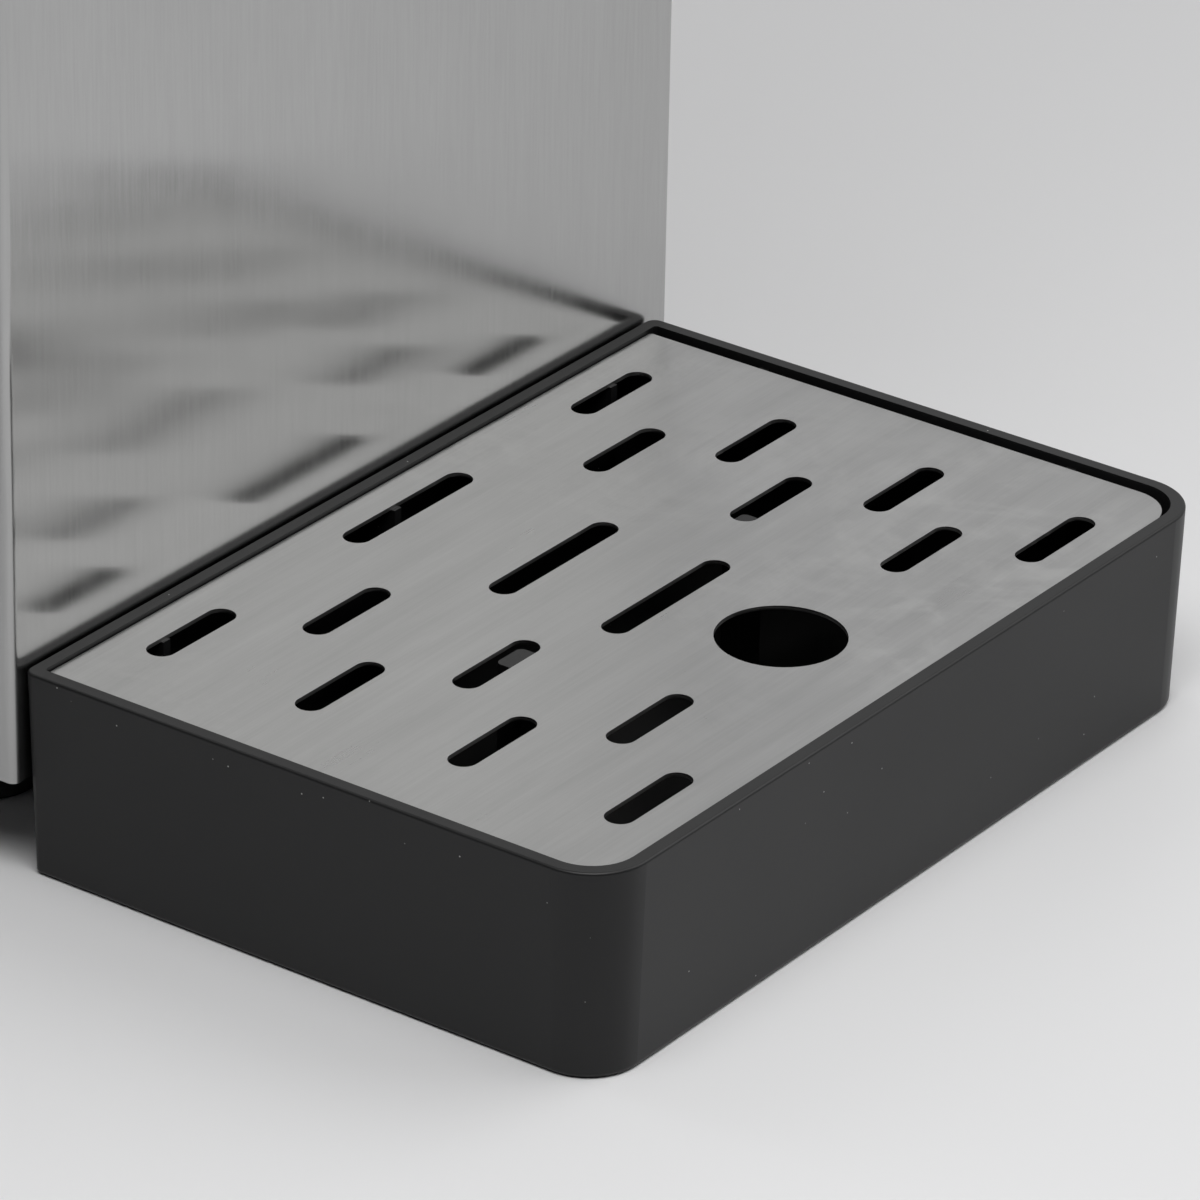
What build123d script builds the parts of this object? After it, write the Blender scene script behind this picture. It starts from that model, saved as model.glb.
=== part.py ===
"""Countertop water dispenser: a brushed steel body on rubber feet, with a dispensing head above
and a drip tray that stands on the table in front of it.

Millimetres. X to the user's right, Y away from the user, Z up. Z = 0 is the table top, and the
origin is the middle of the whole object's footprint.
"""

import os
from math import atan, atan2, cos, degrees, hypot, pi, radians, sin

from build123d import *

os.makedirs("parts", exist_ok=True)

LOW = (Align.CENTER, Align.CENTER, Align.MIN)

# ---------------------------------------------------------------- driving dimensions
BODY_W = 252.6  # steel body, side to side
BODY_D = 370.0  # steel body, front face to rear panel
BODY_Z0 = 23.8  # underside of the steel body
WRAP_TOP = 410.0  # top edge of the steel body
COVER_TOP = 424.0  # top of the black cover
SHEET = 1.0  # body sheet thickness
BEND_R = 2.0  # outside bend radius of the sheet corners

TRAY_W = 242.6
TRAY_D = 163.4
TRAY_H = 52.2
TRAY_WALL = 3.6
TRAY_FLOOR = 2.5
TRAY_DRAFT = 1.6  # degrees
FRONT_R = 15.0  # front corners of the tray and of the head
REAR_R = 3.0  # rear corners of the tray
TRAY_GAP = 0.5  # between the tray and the body
TRAY_X = -2.2  # the loose tray stands a little to the left of the body's middle

GRATE_T = 1.0
GRATE_DROP = 1.0  # how far the grate lies below the tray's rim
GRATE_LEFT_GAP = 0.9
GRATE_RIGHT_GAP = 2.6
GRATE_REAR_GAP = 0.4
GRATE_FRONT_GAP = 0.8

REAR_REACH = 24.0  # the water inlet's reach behind the rear panel
FIT = 0.2  # clearance between moulded parts

OVERALL_D = TRAY_D + TRAY_GAP + BODY_D + REAR_REACH
TRAY_FRONT = -OVERALL_D / 2
TRAY_REAR = TRAY_FRONT + TRAY_D
FACE_Y = TRAY_REAR + TRAY_GAP
REAR_Y = FACE_Y + BODY_D
TRAY_MID = (TRAY_FRONT + TRAY_REAR) / 2


# ---------------------------------------------------------------- small helpers
def save(shape, node):
    """Writes one sub-part, as parts/NODE.step."""
    export_step(shape, f"parts/{node}.step")


def block(width, depth, height, x, y, z):
    """A box with its middle at x, y and its underside at z."""
    return Pos(x, y, z) * Box(width, depth, height, align=LOW)


def rod(radius, height, x, y, z):
    """An upright cylinder that stands on z."""
    return Pos(x, y, z) * Cylinder(radius, height, align=LOW)


def rod_y(radius, start, end, x, z):
    """A cylinder along Y, from y = start to y = end."""
    return Pos(x, start, z) * Rot(-90, 0, 0) * Cylinder(radius, end - start, align=LOW)


def tube(points, radius, bend, bore=0.0):
    """A pipe along straight runs joined by arcs."""
    path = FilletPolyline(*points, radius=bend)
    section = Plane(origin=path @ 0, z_dir=path % 0) * Circle(radius)
    if bore:
        section -= Plane(origin=path @ 0, z_dir=path % 0) * Circle(bore)
    return sweep(section, path=path)


def plan(width, front, rear, front_r, rear_r):
    """A rectangle seen from above, with its own front and rear corner radii."""
    outline = Pos(0, (front + rear) / 2) * Rectangle(width, rear - front)
    if front_r:
        outline = fillet(outline.vertices().group_by(Axis.Y)[0], front_r)
    if rear_r:
        outline = fillet(outline.vertices().group_by(Axis.Y)[-1], rear_r)
    return outline


# ---------------------------------------------------------------- drip tray and its grate
RIM_Z = TRAY_H
GRATE_TOP = RIM_Z - GRATE_DROP
GRATE_UNDER = GRATE_TOP - GRATE_T
RIB_T = 2.5
RIB_REACH = 10.2
WALL_RIB_X = (-86.5, 0.0, 86.5)
SIDE_RIB_Y = (-45.0, 45.0)
POST_X = 44.1
POST_ROW = 65.6  # from the rearmost row of slots
POST_SIZE = (9.4, 6.4)
POST_R = 1.5

ROW_PITCH = 43.0
FIRST_ROW = 16.8  # from the rim's rear edge to the rearmost row of slots
OUTER_X = 81.3
INNER_X = (-50.8, 57.5)
INNER_SHIFT = 21.2  # the inner columns' first row, from the outer columns' first row
SLOT_W = 7.2
SHORT_SLOT = 28.6
LONG_SLOT = 46.0
MIDDLE_X = 0.6
LONG_ROWS = (-0.4, 42.4, 74.6)
FINGER_HOLE_R = 15.5
FINGER_HOLE_ROW = 107.0


def slot_places():
    """Each slot of the grate as (x, y, length)."""
    first = TRAY_REAR - FIRST_ROW
    inner = first - INNER_SHIFT
    places = [(MIDDLE_X, first - row, LONG_SLOT) for row in LONG_ROWS]
    for x in (-OUTER_X, OUTER_X):
        places += [(x, first - n * ROW_PITCH, SHORT_SLOT) for n in range(4)]
    for x in INNER_X:
        places += [(x, inner - n * ROW_PITCH, SHORT_SLOT) for n in range(3)]
    return places


def drip_tray():
    """Deep moulded tray with drafted walls, support ribs and two posts for the grate."""
    rim = plan(TRAY_W, TRAY_FRONT, TRAY_REAR, FRONT_R, REAR_R)
    outer = extrude(Pos(0, 0, RIM_Z) * rim, -RIM_Z, taper=TRAY_DRAFT)
    outer = fillet(outer.edges().group_by(Axis.Z)[0], 1.5)
    outer = fillet(outer.edges().group_by(Axis.Z)[-1], 0.7)
    mouth = plan(
        TRAY_W - 2 * TRAY_WALL,
        TRAY_FRONT + TRAY_WALL,
        TRAY_REAR - TRAY_WALL,
        FRONT_R - TRAY_WALL,
        1.0,
    )
    basin = extrude(Pos(0, 0, RIM_Z) * mouth, TRAY_FLOOR - RIM_Z, taper=TRAY_DRAFT)
    ribs = []
    rib_h = GRATE_UNDER - TRAY_FLOOR
    length = RIB_REACH + TRAY_WALL
    for side in (-1, 1):
        y = TRAY_MID + side * (TRAY_D - length) / 2
        x = side * (TRAY_W - length) / 2
        ribs += [block(RIB_T, length, rib_h, across, y, TRAY_FLOOR) for across in WALL_RIB_X]
        ribs += [block(length, RIB_T, rib_h, x, TRAY_MID + along, TRAY_FLOOR) for along in SIDE_RIB_Y]
    post_y = TRAY_REAR - FIRST_ROW - POST_ROW
    for x in (-POST_X, POST_X):
        ribs.append(extrude(Pos(x, post_y, TRAY_FLOOR) * RectangleRounded(*POST_SIZE, POST_R), rib_h))
    return Pos(TRAY_X, 0, 0) * (outer - basin + (sum(ribs[1:], ribs[0]) & basin))


def drip_grate():
    """Flat steel plate with obround drain slots and one round finger hole."""
    outline = Pos((GRATE_LEFT_GAP - GRATE_RIGHT_GAP) / 2, 0) * plan(
        TRAY_W - 2 * TRAY_WALL - GRATE_LEFT_GAP - GRATE_RIGHT_GAP,
        TRAY_FRONT + TRAY_WALL + GRATE_FRONT_GAP,
        TRAY_REAR - TRAY_WALL - GRATE_REAR_GAP,
        FRONT_R - TRAY_WALL,
        1.0,
    )
    for x, y, length in slot_places():
        outline -= Pos(x, y) * SlotOverall(length, SLOT_W)
    outline -= Pos(MIDDLE_X, TRAY_REAR - FIRST_ROW - FINGER_HOLE_ROW) * Circle(FINGER_HOLE_R)
    return extrude(Pos(TRAY_X, 0, GRATE_UNDER) * outline, GRATE_T)


save(drip_tray(), "drip_tray")
save(drip_grate(), "drip_grate")

# ---------------------------------------------------------------- body shell
FLANGE = 12.0
PAN_T = 1.5
PAN_Z = BODY_Z0 + SHEET + 0.1
PAN_FLOOR = PAN_Z + PAN_T
PAN_LIP = 18.0
VENT_W = 4.0
VENT_L = 34.0
VENT_PITCH = 10.0

HEAD_BOTTOM = 322.0
HEAD_REACH = 104.0
HEAD_NOSE_TOP = 364.0
HEAD_CREST = 30.0  # from the body's face to the top of the slope
HEAD_WALL = 2.5
PIPE_WINDOW = (90.0, 46.0)
PIPE_WINDOW_Z = 350.0
BRACKET_BOLT_X = 80.0
BRACKET_BOLT_Z = (340.0, 392.0)
BRACKET_BOLT_R = 2.0

FOOT_X = 92.0
FOOT_Y = (FACE_Y + 38.0, REAR_Y - 38.0)
FOOT_R = 16.0

INLET_X, INLET_Z = 82.0, 62.0
DRAIN_X, DRAIN_Z = 46.0, 72.0
SOCKET_X, SOCKET_Z = -80.0, 66.0
SWITCH_X = (-94.0, -66.0)
SWITCH_Z = 108.0
SWITCH_HOLE = (13.2, 19.6)
SWITCH_NAMES = ("power_switch", "heater_switch")
KNOB_X, KNOB_Z = -80.0, 152.0
COOLING_X, COOLING_Z = -38.0, 262.0  # middle of the fan and of the condenser
VENT_ROWS = 13
PANEL_SCREW_X = 114.0
PANEL_SCREW_Z = (60.0, 220.0, 380.0)
SCREW_R = 1.9

COVER_WALL = 2.5
COVER_SKIRT = 7.0
COVER_SCREW_X = 90.0


def side_vents():
    """Cutters for the vent slots near the rear of both sides."""
    cutters = []
    for column in range(3):
        for row in range(9):
            place = Plane(
                origin=(0, REAR_Y - 60 - column * (VENT_L + 10), 70 + row * VENT_PITCH),
                x_dir=(0, 1, 0),
                z_dir=(1, 0, 0),
            )
            cutters.append(place * SlotOverall(VENT_L, VENT_W))
    return [extrude(c, BODY_W, both=True) for c in cutters]


def steel_wrap():
    """One folded sheet: front and both sides, with a return flange along the bottom."""
    outline = plan(BODY_W, FACE_Y, REAR_Y, BEND_R, 0)
    inside = plan(BODY_W - 2 * SHEET, FACE_Y + SHEET, REAR_Y, BEND_R - SHEET, 0)
    window = plan(BODY_W - 2 * FLANGE, FACE_Y + FLANGE, REAR_Y, 4.0, 0)
    wrap = extrude(Pos(0, 0, BODY_Z0) * outline, WRAP_TOP - BODY_Z0)
    wrap -= extrude(Pos(0, 0, BODY_Z0 + SHEET) * inside, WRAP_TOP)
    wrap -= extrude(Pos(0, 0, BODY_Z0 - 1) * window, WRAP_TOP)
    wrap -= side_vents()
    wrap -= block(PIPE_WINDOW[0], 10, PIPE_WINDOW[1], 0, FACE_Y, PIPE_WINDOW_Z - PIPE_WINDOW[1] / 2)
    for x in (-BRACKET_BOLT_X, BRACKET_BOLT_X):
        for z in BRACKET_BOLT_Z:
            wrap -= rod_y(BRACKET_BOLT_R + 0.2, FACE_Y - 5, FACE_Y + 5, x, z)
    return wrap


def base_pan():
    """Folded chassis pan that carries everything, with vents and holes for the feet."""
    width = BODY_W - 2 * SHEET - 0.6
    front, rear = FACE_Y + SHEET + 0.3, REAR_Y - SHEET - 0.3
    outline = plan(width, front, rear, 1.5, 1.5)
    hollow = plan(width - 2 * PAN_T, front + PAN_T, rear - PAN_T, 0, 0)
    pan = extrude(Pos(0, 0, PAN_Z) * outline, PAN_LIP)
    pan -= extrude(Pos(0, 0, PAN_FLOOR) * hollow, PAN_LIP)
    for n in range(-3, 4):
        place = Pos(n * 14.0, (FACE_Y + REAR_Y) / 2 + 100, PAN_Z - 1)
        pan -= extrude(place * (Rot(0, 0, 90) * SlotOverall(60, 5)), 5)
    for x in (-FOOT_X, FOOT_X):
        for y in FOOT_Y:
            pan -= rod(3.2, 10, x, y, PAN_Z - 2)
    for x, z in ((SOCKET_X, SOCKET_Z),):
        pan -= block(60, 10, 10, x, REAR_Y, PAN_Z + 12)
    return pan


def rear_vents():
    """Cutters for the rear panel's vent rows, in three columns behind the condenser."""
    cutters = []
    for column in (-1, 0, 1):
        for row in range(VENT_ROWS):
            place = Plane(
                origin=(COOLING_X + column * 46, REAR_Y, COOLING_Z + (row - VENT_ROWS // 2) * VENT_PITCH),
                x_dir=(1, 0, 0),
                z_dir=(0, 1, 0),
            )
            cutters.append(extrude(place * SlotOverall(40, VENT_W + 0.6), 8, both=True))
    return cutters


def rear_panel():
    """Painted steel rear wall with forward side flanges, vents and cut-outs for the fittings."""
    width = BODY_W - 2 * SHEET - 0.6
    low, high = PAN_Z + 0.2, WRAP_TOP - 0.5
    panel = block(width, SHEET, high - low, 0, REAR_Y - SHEET / 2, low)
    for side in (-1, 1):
        x = side * (width / 2 - SHEET / 2)
        flange_h = high - low - PAN_LIP - COVER_SKIRT - 4
        panel += block(SHEET, 10, flange_h, x, REAR_Y - 5, low + PAN_LIP + 2)
    panel -= rear_vents()
    panel -= rod_y(9.2, REAR_Y - 5, REAR_Y + 5, INLET_X, INLET_Z)
    panel -= rod_y(8.2, REAR_Y - 5, REAR_Y + 5, DRAIN_X, DRAIN_Z)
    panel -= block(27.6, 10, 20.4, SOCKET_X, REAR_Y, SOCKET_Z - 10.2)
    for side in (-1, 1):
        panel -= rod_y(1.8, REAR_Y - 5, REAR_Y + 5, SOCKET_X + side * 20, SOCKET_Z)
    for x in SWITCH_X:
        width, height = SWITCH_HOLE
        panel -= block(width, 10, height, x, REAR_Y, SWITCH_Z - height / 2)
    panel -= rod_y(5.2, REAR_Y - 5, REAR_Y + 5, KNOB_X, KNOB_Z)
    for x in (-PANEL_SCREW_X, PANEL_SCREW_X):
        for z in PANEL_SCREW_Z:
            panel -= rod_y(SCREW_R, REAR_Y - 5, REAR_Y + 5, x, z)
    return panel


def top_cover():
    """Moulded lid that sits on the steel body, with a skirt that locates inside it."""
    outline = plan(BODY_W, FACE_Y, REAR_Y, BEND_R, BEND_R)
    lid = extrude(Pos(0, 0, WRAP_TOP) * outline, COVER_TOP - WRAP_TOP)
    rim = lid.edges().group_by(Axis.Z)[-1]
    lid = fillet([e for e in rim if e.center().Y > FACE_Y + 1], 3.0)
    front, rear = FACE_Y + SHEET + FIT, REAR_Y - SHEET - FIT
    skirt = plan(BODY_W - 2 * (SHEET + FIT + 0.3), front, rear - 0.4, 1.5, 1.5)
    lid += extrude(Pos(0, 0, WRAP_TOP - COVER_SKIRT) * skirt, COVER_SKIRT)
    hollow = plan(BODY_W - 2 * (SHEET + FIT + COVER_WALL), front + COVER_WALL, rear - COVER_WALL, 1, 1)
    height = COVER_TOP - COVER_WALL - WRAP_TOP + COVER_SKIRT
    lid -= extrude(Pos(0, 0, WRAP_TOP - COVER_SKIRT) * hollow, height)
    for x in (-COVER_SCREW_X, COVER_SCREW_X):
        lid -= rod_y(SCREW_R, REAR_Y - 12, REAR_Y + 2, x, (WRAP_TOP + COVER_TOP) / 2)
    return lid


save(steel_wrap(), "steel_wrap")
save(base_pan(), "base_pan")
save(rear_panel(), "rear_panel")
save(top_cover(), "top_cover")


# ---------------------------------------------------------------- feet and case screws
def foot(x, y):
    """Rubber foot with a counterbore for its screw."""
    body = Cone(FOOT_R - 2, FOOT_R, PAN_Z, align=LOW)
    body = fillet(body.edges().group_by(Axis.Z)[0], 1.5)
    body -= Cylinder(6.5, 12, align=LOW)
    body -= Cylinder(3.1, PAN_Z, align=LOW)
    return Pos(x, y, 0) * body


def pan_screw(x, y):
    """Pan-head screw that holds one foot, with its nut inside the pan."""
    head = Cylinder(5.5, 3.2, align=LOW)
    head = fillet(head.edges().group_by(Axis.Z)[0], 1.2)
    head -= Pos(0, 0, -0.1) * (Box(6, 1.2, 1.6, align=LOW) + Box(1.2, 6, 1.6, align=LOW))
    shank = Pos(0, 0, 3.2) * Cylinder(2.9, PAN_FLOOR - 12 + 9, align=LOW)
    nut = Pos(0, 0, PAN_FLOOR - 12 + 3.2) * extrude(RegularPolygon(5.0, 6, major_radius=False), 5.0)
    return Pos(x, y, 12 - 3.2) * (head + shank + nut)


def rear_screw(x, z, y=REAR_Y):
    """Small screw in the rear face, its head against y."""
    head = Cylinder(3.6, 2.0, align=LOW)
    head = fillet(head.edges().group_by(Axis.Z)[-1], 1.1)
    head -= Pos(0, 0, 1.0) * (Box(4.4, 0.9, 2, align=LOW) + Box(0.9, 4.4, 2, align=LOW))
    shank = Pos(0, 0, -8) * Cylinder(SCREW_R - 0.2, 8, align=LOW)
    return Pos(x, y, z) * Rot(-90, 0, 0) * (head + shank)


for side, x in (("left", -FOOT_X), ("right", FOOT_X)):
    for end, y in zip(("front", "rear"), FOOT_Y):
        save(foot(x, y), f"foot_{end}_{side}")
save(Compound(children=[pan_screw(x, y) for x in (-FOOT_X, FOOT_X) for y in FOOT_Y]), "foot_screws")
panel_screws = [rear_screw(x, z) for x in (-PANEL_SCREW_X, PANEL_SCREW_X) for z in PANEL_SCREW_Z]
panel_screws += [rear_screw(SOCKET_X + side * 20, SOCKET_Z, REAR_Y + 2.5) for side in (-1, 1)]
save(Compound(children=panel_screws), "rear_panel_screws")
lid_screws = [rear_screw(x, (WRAP_TOP + COVER_TOP) / 2) for x in (-COVER_SCREW_X, COVER_SCREW_X)]
save(Compound(children=lid_screws), "top_cover_screws")

# ---------------------------------------------------------------- dispensing head
HEAD_BACK = FACE_Y - 0.3
HEAD_NOSE = FACE_Y - HEAD_REACH
SLOPE_RISE = COVER_TOP - HEAD_NOSE_TOP
SLOPE_RUN = HEAD_REACH - HEAD_CREST
SLOPE_LENGTH = hypot(SLOPE_RISE, SLOPE_RUN)
SLOPE_NORMAL = (0, -SLOPE_RISE / SLOPE_LENGTH, SLOPE_RUN / SLOPE_LENGTH)
SLOPE_MID = (0, FACE_Y - (HEAD_REACH + HEAD_CREST) / 2, (HEAD_NOSE_TOP + COVER_TOP) / 2)
SLOPE = Plane(origin=SLOPE_MID, x_dir=(1, 0, 0), z_dir=SLOPE_NORMAL)

PLATE_W, PLATE_H, PLATE_T = 206.0, 66.0, 1.2
PLATE_DROP = 0.3
BUTTON_X = (-69.0, -23.0, 23.0, 69.0)
BUTTON_NAMES = ("cold", "ambient", "hot", "hot_lock")
BUTTON_V = -6.0  # up the slope from its middle
BUTTON_R = 11.0
BUTTON_TRAVEL = 2.5
BEZEL_R = 14.5
BEZEL_HOLE_R = 13.0
LAMP_V = 20.0
LAMP_R = 2.2

SPOUT_Y = FACE_Y - 76.0
SPOUT_X = 17.0
SPOUT_R = 6.5
SPOUT_BORE = 4.2
SPOUT_TIP_Z = 286.0
COLLAR_Z = 315.0
WORK_LIGHT = (46.0, 9.0, 2.0)
WORK_LIGHT_Y = FACE_Y - 24.0


def head_solid(inset):
    """The head's outside, or its inside when inset by the wall."""
    back = HEAD_BACK
    nose = HEAD_NOSE + inset
    slope_shift = inset * (SLOPE_LENGTH - SLOPE_RISE) / SLOPE_RUN
    crest_shift = inset * (SLOPE_LENGTH - SLOPE_RUN) / SLOPE_RISE
    top = COVER_TOP - inset
    profile = Polygon(
        (back, HEAD_BOTTOM + inset),
        (nose, HEAD_BOTTOM + inset),
        (nose, HEAD_NOSE_TOP - slope_shift),
        (FACE_Y - HEAD_CREST + crest_shift, top),
        (back, top),
        align=None,
    )
    side = Plane(origin=(0, 0, 0), x_dir=(0, 1, 0), z_dir=(1, 0, 0))
    swept = extrude(side * profile, TRAY_W / 2 - inset, both=True)
    outline = plan(TRAY_W - 2 * inset, nose, back, FRONT_R - inset, 0)
    return swept & extrude(Pos(0, 0, HEAD_BOTTOM - 10) * outline, 150)


def head_shell():
    """Moulded head, open at the back, with a pocket for the control plate."""
    outer = head_solid(0)
    soft = [e for e in outer.edges() if e.center().Y < HEAD_BACK - 1]
    low = [e for e in soft if e.center().Z < HEAD_BOTTOM + 0.5]
    outer = fillet(low, 2.0)
    shell = outer - head_solid(HEAD_WALL)
    return shell


def slope_part(shape):
    """Moves a shape made flat on XY to the slope."""
    return SLOPE.location * shape


def head_pockets(shell):
    """Cuts the control plate's pocket, the button holes, and the spout and lamp openings."""
    pocket = extrude(RectangleRounded(PLATE_W + 2 * FIT, PLATE_H + 2 * FIT, 8 + FIT), 20)
    shell -= slope_part(Pos(0, 0, -PLATE_T - PLATE_DROP) * pocket)
    for x in BUTTON_X:
        shell -= slope_part(Pos(x, BUTTON_V, -10) * Cylinder(BEZEL_HOLE_R, 20, align=LOW))
        shell -= slope_part(Pos(x, LAMP_V, -10) * Cylinder(LAMP_R + 0.1, 20, align=LOW))
    for x in (-SPOUT_X, SPOUT_X):
        shell -= rod(SPOUT_R + FIT, 12, x, SPOUT_Y, HEAD_BOTTOM - 4)
    width, depth, _ = WORK_LIGHT
    shell -= block(width - 4, depth - 4, 12, 0, WORK_LIGHT_Y, HEAD_BOTTOM - 4)
    shell -= block(width + 2 * FIT, depth + 2 * FIT, 6 + 1.2, 0, WORK_LIGHT_Y, HEAD_BOTTOM - 6)
    return shell


def control_plate():
    """Brushed steel plate that carries the buttons and their lamps."""
    face = RectangleRounded(PLATE_W, PLATE_H, 8)
    for x in BUTTON_X:
        face -= Pos(x, BUTTON_V) * Circle(BEZEL_HOLE_R)
        face -= Pos(x, LAMP_V) * Circle(LAMP_R + 0.1)
    return slope_part(Pos(0, 0, -PLATE_T - PLATE_DROP) * extrude(face, PLATE_T))


def bezel(x):
    """Ring round one button, with a flange on the plate and a sleeve through it."""
    ring = Pos(0, 0, -PLATE_DROP) * Cylinder(BEZEL_R, 1.6, align=LOW)
    ring = fillet(ring.edges().group_by(Axis.Z)[-1], 0.9)
    ring += Pos(0, 0, -9) * Cylinder(BEZEL_HOLE_R - 0.1, 9 - PLATE_DROP, align=LOW)
    ring -= Pos(0, 0, -10) * Cylinder(BUTTON_R + 0.3, 20, align=LOW)
    return slope_part(Pos(x, BUTTON_V, 0) * ring)


def button(x):
    """Push-button cap with a dished top and a stem over its switch."""
    cap = Pos(0, 0, -6.5) * Cylinder(BUTTON_R, 9.3, align=LOW)
    cap = fillet(cap.edges().group_by(Axis.Z)[-1], 0.8)
    cap -= Pos(0, 0, 61.9) * Sphere(60)
    cap += Pos(0, 0, -10) * Cylinder(3, 4, align=LOW)
    return slope_part(Pos(x, BUTTON_V, 0) * cap)


BOARD_DEPTH = 24.0
BOARD_T = 1.6


def control_board():
    """Circuit board behind the plate, with one tactile switch under each button."""
    board = Pos(0, -2, -BOARD_DEPTH) * Box(196, 44, BOARD_T, align=LOW)
    switch_h = BOARD_DEPTH - BOARD_T - 10 - BUTTON_TRAVEL - 0.3
    for x in BUTTON_X:
        board += Pos(x, BUTTON_V, BOARD_T - BOARD_DEPTH) * Box(12, 12, switch_h - 2.5, align=LOW)
        board += Pos(x, BUTTON_V, BOARD_T - BOARD_DEPTH) * Cylinder(3.2, switch_h, align=LOW)
    for n in range(5):
        board += Pos(-80 + n * 40, 12, BOARD_T - BOARD_DEPTH) * Box(16, 7, 3, align=LOW)
    return slope_part(board)


def lamp(x):
    """Small indicator lens above one button."""
    lens = Pos(0, 0, -7) * Cylinder(LAMP_R, 7.2, align=LOW)
    lens = fillet(lens.edges().group_by(Axis.Z)[-1], 0.6)
    return slope_part(Pos(x, LAMP_V, 0) * lens)


def spout(x):
    """Steel outlet tube with a thicker nozzle tip."""
    pipe = rod(SPOUT_R, 340 - SPOUT_TIP_Z, 0, 0, SPOUT_TIP_Z)
    tip = rod(SPOUT_R + 1.5, 14, 0, 0, SPOUT_TIP_Z)
    tip = fillet(tip.edges().group_by(Axis.Z)[0], 1.0)
    tip = chamfer(tip.edges().group_by(Axis.Z)[-1], 1.2)
    pipe = pipe + tip - rod(SPOUT_BORE, 80, 0, 0, SPOUT_TIP_Z - 5)
    return Pos(x, SPOUT_Y, 0) * pipe


def spout_collar():
    """Plate under the head that both spouts come through."""
    face = SlotOverall(2 * SPOUT_X + 40, 40)
    for x in (-SPOUT_X, SPOUT_X):
        face -= Pos(x, 0) * Circle(SPOUT_R + 0.15)
    plate = extrude(Pos(0, SPOUT_Y, COLLAR_Z) * face, HEAD_BOTTOM - COLLAR_Z)
    return fillet(plate.faces().sort_by(Axis.Z)[0].outer_wire().edges(), 2.0)


def work_light():
    """Clear bar that lights the cup under the spouts."""
    width, depth, height = WORK_LIGHT
    bar = block(width, depth, height, 0, WORK_LIGHT_Y, HEAD_BOTTOM + 1.2 - height)
    return bar


def head_bracket():
    """Folded steel plate that bolts the head to the body's front."""
    plate = block(200, 1.5, 84, 0, HEAD_BACK - 0.75, HEAD_BOTTOM + HEAD_WALL + 2)
    plate += block(200, 30, 1.5, 0, HEAD_BACK - 15, HEAD_BOTTOM + HEAD_WALL + 0.5)
    plate -= block(PIPE_WINDOW[0], 10, PIPE_WINDOW[1], 0, HEAD_BACK, PIPE_WINDOW_Z - PIPE_WINDOW[1] / 2)
    for x in (-BRACKET_BOLT_X, BRACKET_BOLT_X):
        for z in BRACKET_BOLT_Z:
            plate -= rod_y(BRACKET_BOLT_R + 0.1, HEAD_BACK - 5, HEAD_BACK + 5, x, z)
    return plate


def bracket_bolt(x, z):
    """Bolt through the bracket and the body's front, with its nut inside the body."""
    head = extrude(RegularPolygon(3.5, 6, major_radius=False), 2.8)
    shank = Pos(0, 0, -8) * Cylinder(BRACKET_BOLT_R, 8, align=LOW)
    nut = Pos(0, 0, -1.5 - 0.3 - SHEET - 3.0) * extrude(RegularPolygon(3.5, 6, major_radius=False), 3.0)
    return Pos(x, HEAD_BACK - 1.5, z) * Rot(90, 0, 0) * (head + shank + nut)


save(head_pockets(head_shell()), "head_shell")
save(control_plate(), "control_plate")
save(Compound(children=[bezel(x) for x in BUTTON_X]), "button_bezels")
for name, x in zip(BUTTON_NAMES, BUTTON_X):
    save(button(x), f"{name}_button")
save(control_board(), "control_board")
save(Compound(children=[lamp(x) for x in BUTTON_X]), "indicator_lamps")
save(spout(-SPOUT_X), "cold_spout")
save(spout(SPOUT_X), "hot_spout")
save(spout_collar(), "spout_collar")
save(work_light(), "work_light")
save(head_bracket(), "head_bracket")
bolts = [bracket_bolt(x, z) for x in (-BRACKET_BOLT_X, BRACKET_BOLT_X) for z in BRACKET_BOLT_Z]
save(Compound(children=bolts), "bracket_bolts")

# ---------------------------------------------------------------- fittings in the rear panel
def rear_place(x, z):
    """Puts a shape made flat on XY onto the rear panel, its Z pointing out."""
    return Plane(origin=(x, REAR_Y, z), x_dir=(-1, 0, 0), z_dir=(0, 1, 0)).location


def power_inlet():
    """Three-pin appliance inlet with its screw flange."""
    body = extrude(RectangleRounded(50, 24, 4), 2.5)
    body += Pos(0, 0, -22) * Box(27.2, 20, 22, align=LOW)
    socket = Rectangle(24.4, 16.6)
    socket = chamfer(socket.vertices().group_by(Axis.Y)[-1], 4.0)
    body -= Pos(0, 0, -15) * extrude(socket, 20)
    for side in (-1, 1):
        body -= Pos(side * 20, 0, -5) * Cylinder(1.8, 10, align=LOW)
        body += Pos(side * 7, -2, -28) * Box(2, 4, 27, align=LOW)
    body += Pos(0, 2.2, -28) * Box(2, 4, 27, align=LOW)
    return rear_place(SOCKET_X, SOCKET_Z) * body


ROCKER_W, ROCKER_H = 10.0, 14.0
ROCKER_PIVOT = 2.0  # behind the rear panel's face
ROCKER_TILT = 10.0  # degrees either side of level
ROCKER_HUB_R = 3.4


def switch_frame(x):
    """Snap-in frame of a rocker switch, closed behind, with two terminals."""
    width, height = SWITCH_HOLE
    frame = extrude(RectangleRounded(15.6, 22.0, 1.5), 2.0)
    frame += Pos(0, 0, -16) * Box(width - 0.2, height - 0.2, 16, align=LOW)
    frame -= Pos(0, 0, -12) * Box(ROCKER_W + 0.5, 16.4, 20, align=LOW)
    for side in (-1, 1):
        frame += Pos(0, side * 5, -23) * Box(4.8, 0.8, 8, align=LOW)
    return rear_place(x, SWITCH_Z) * frame


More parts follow.
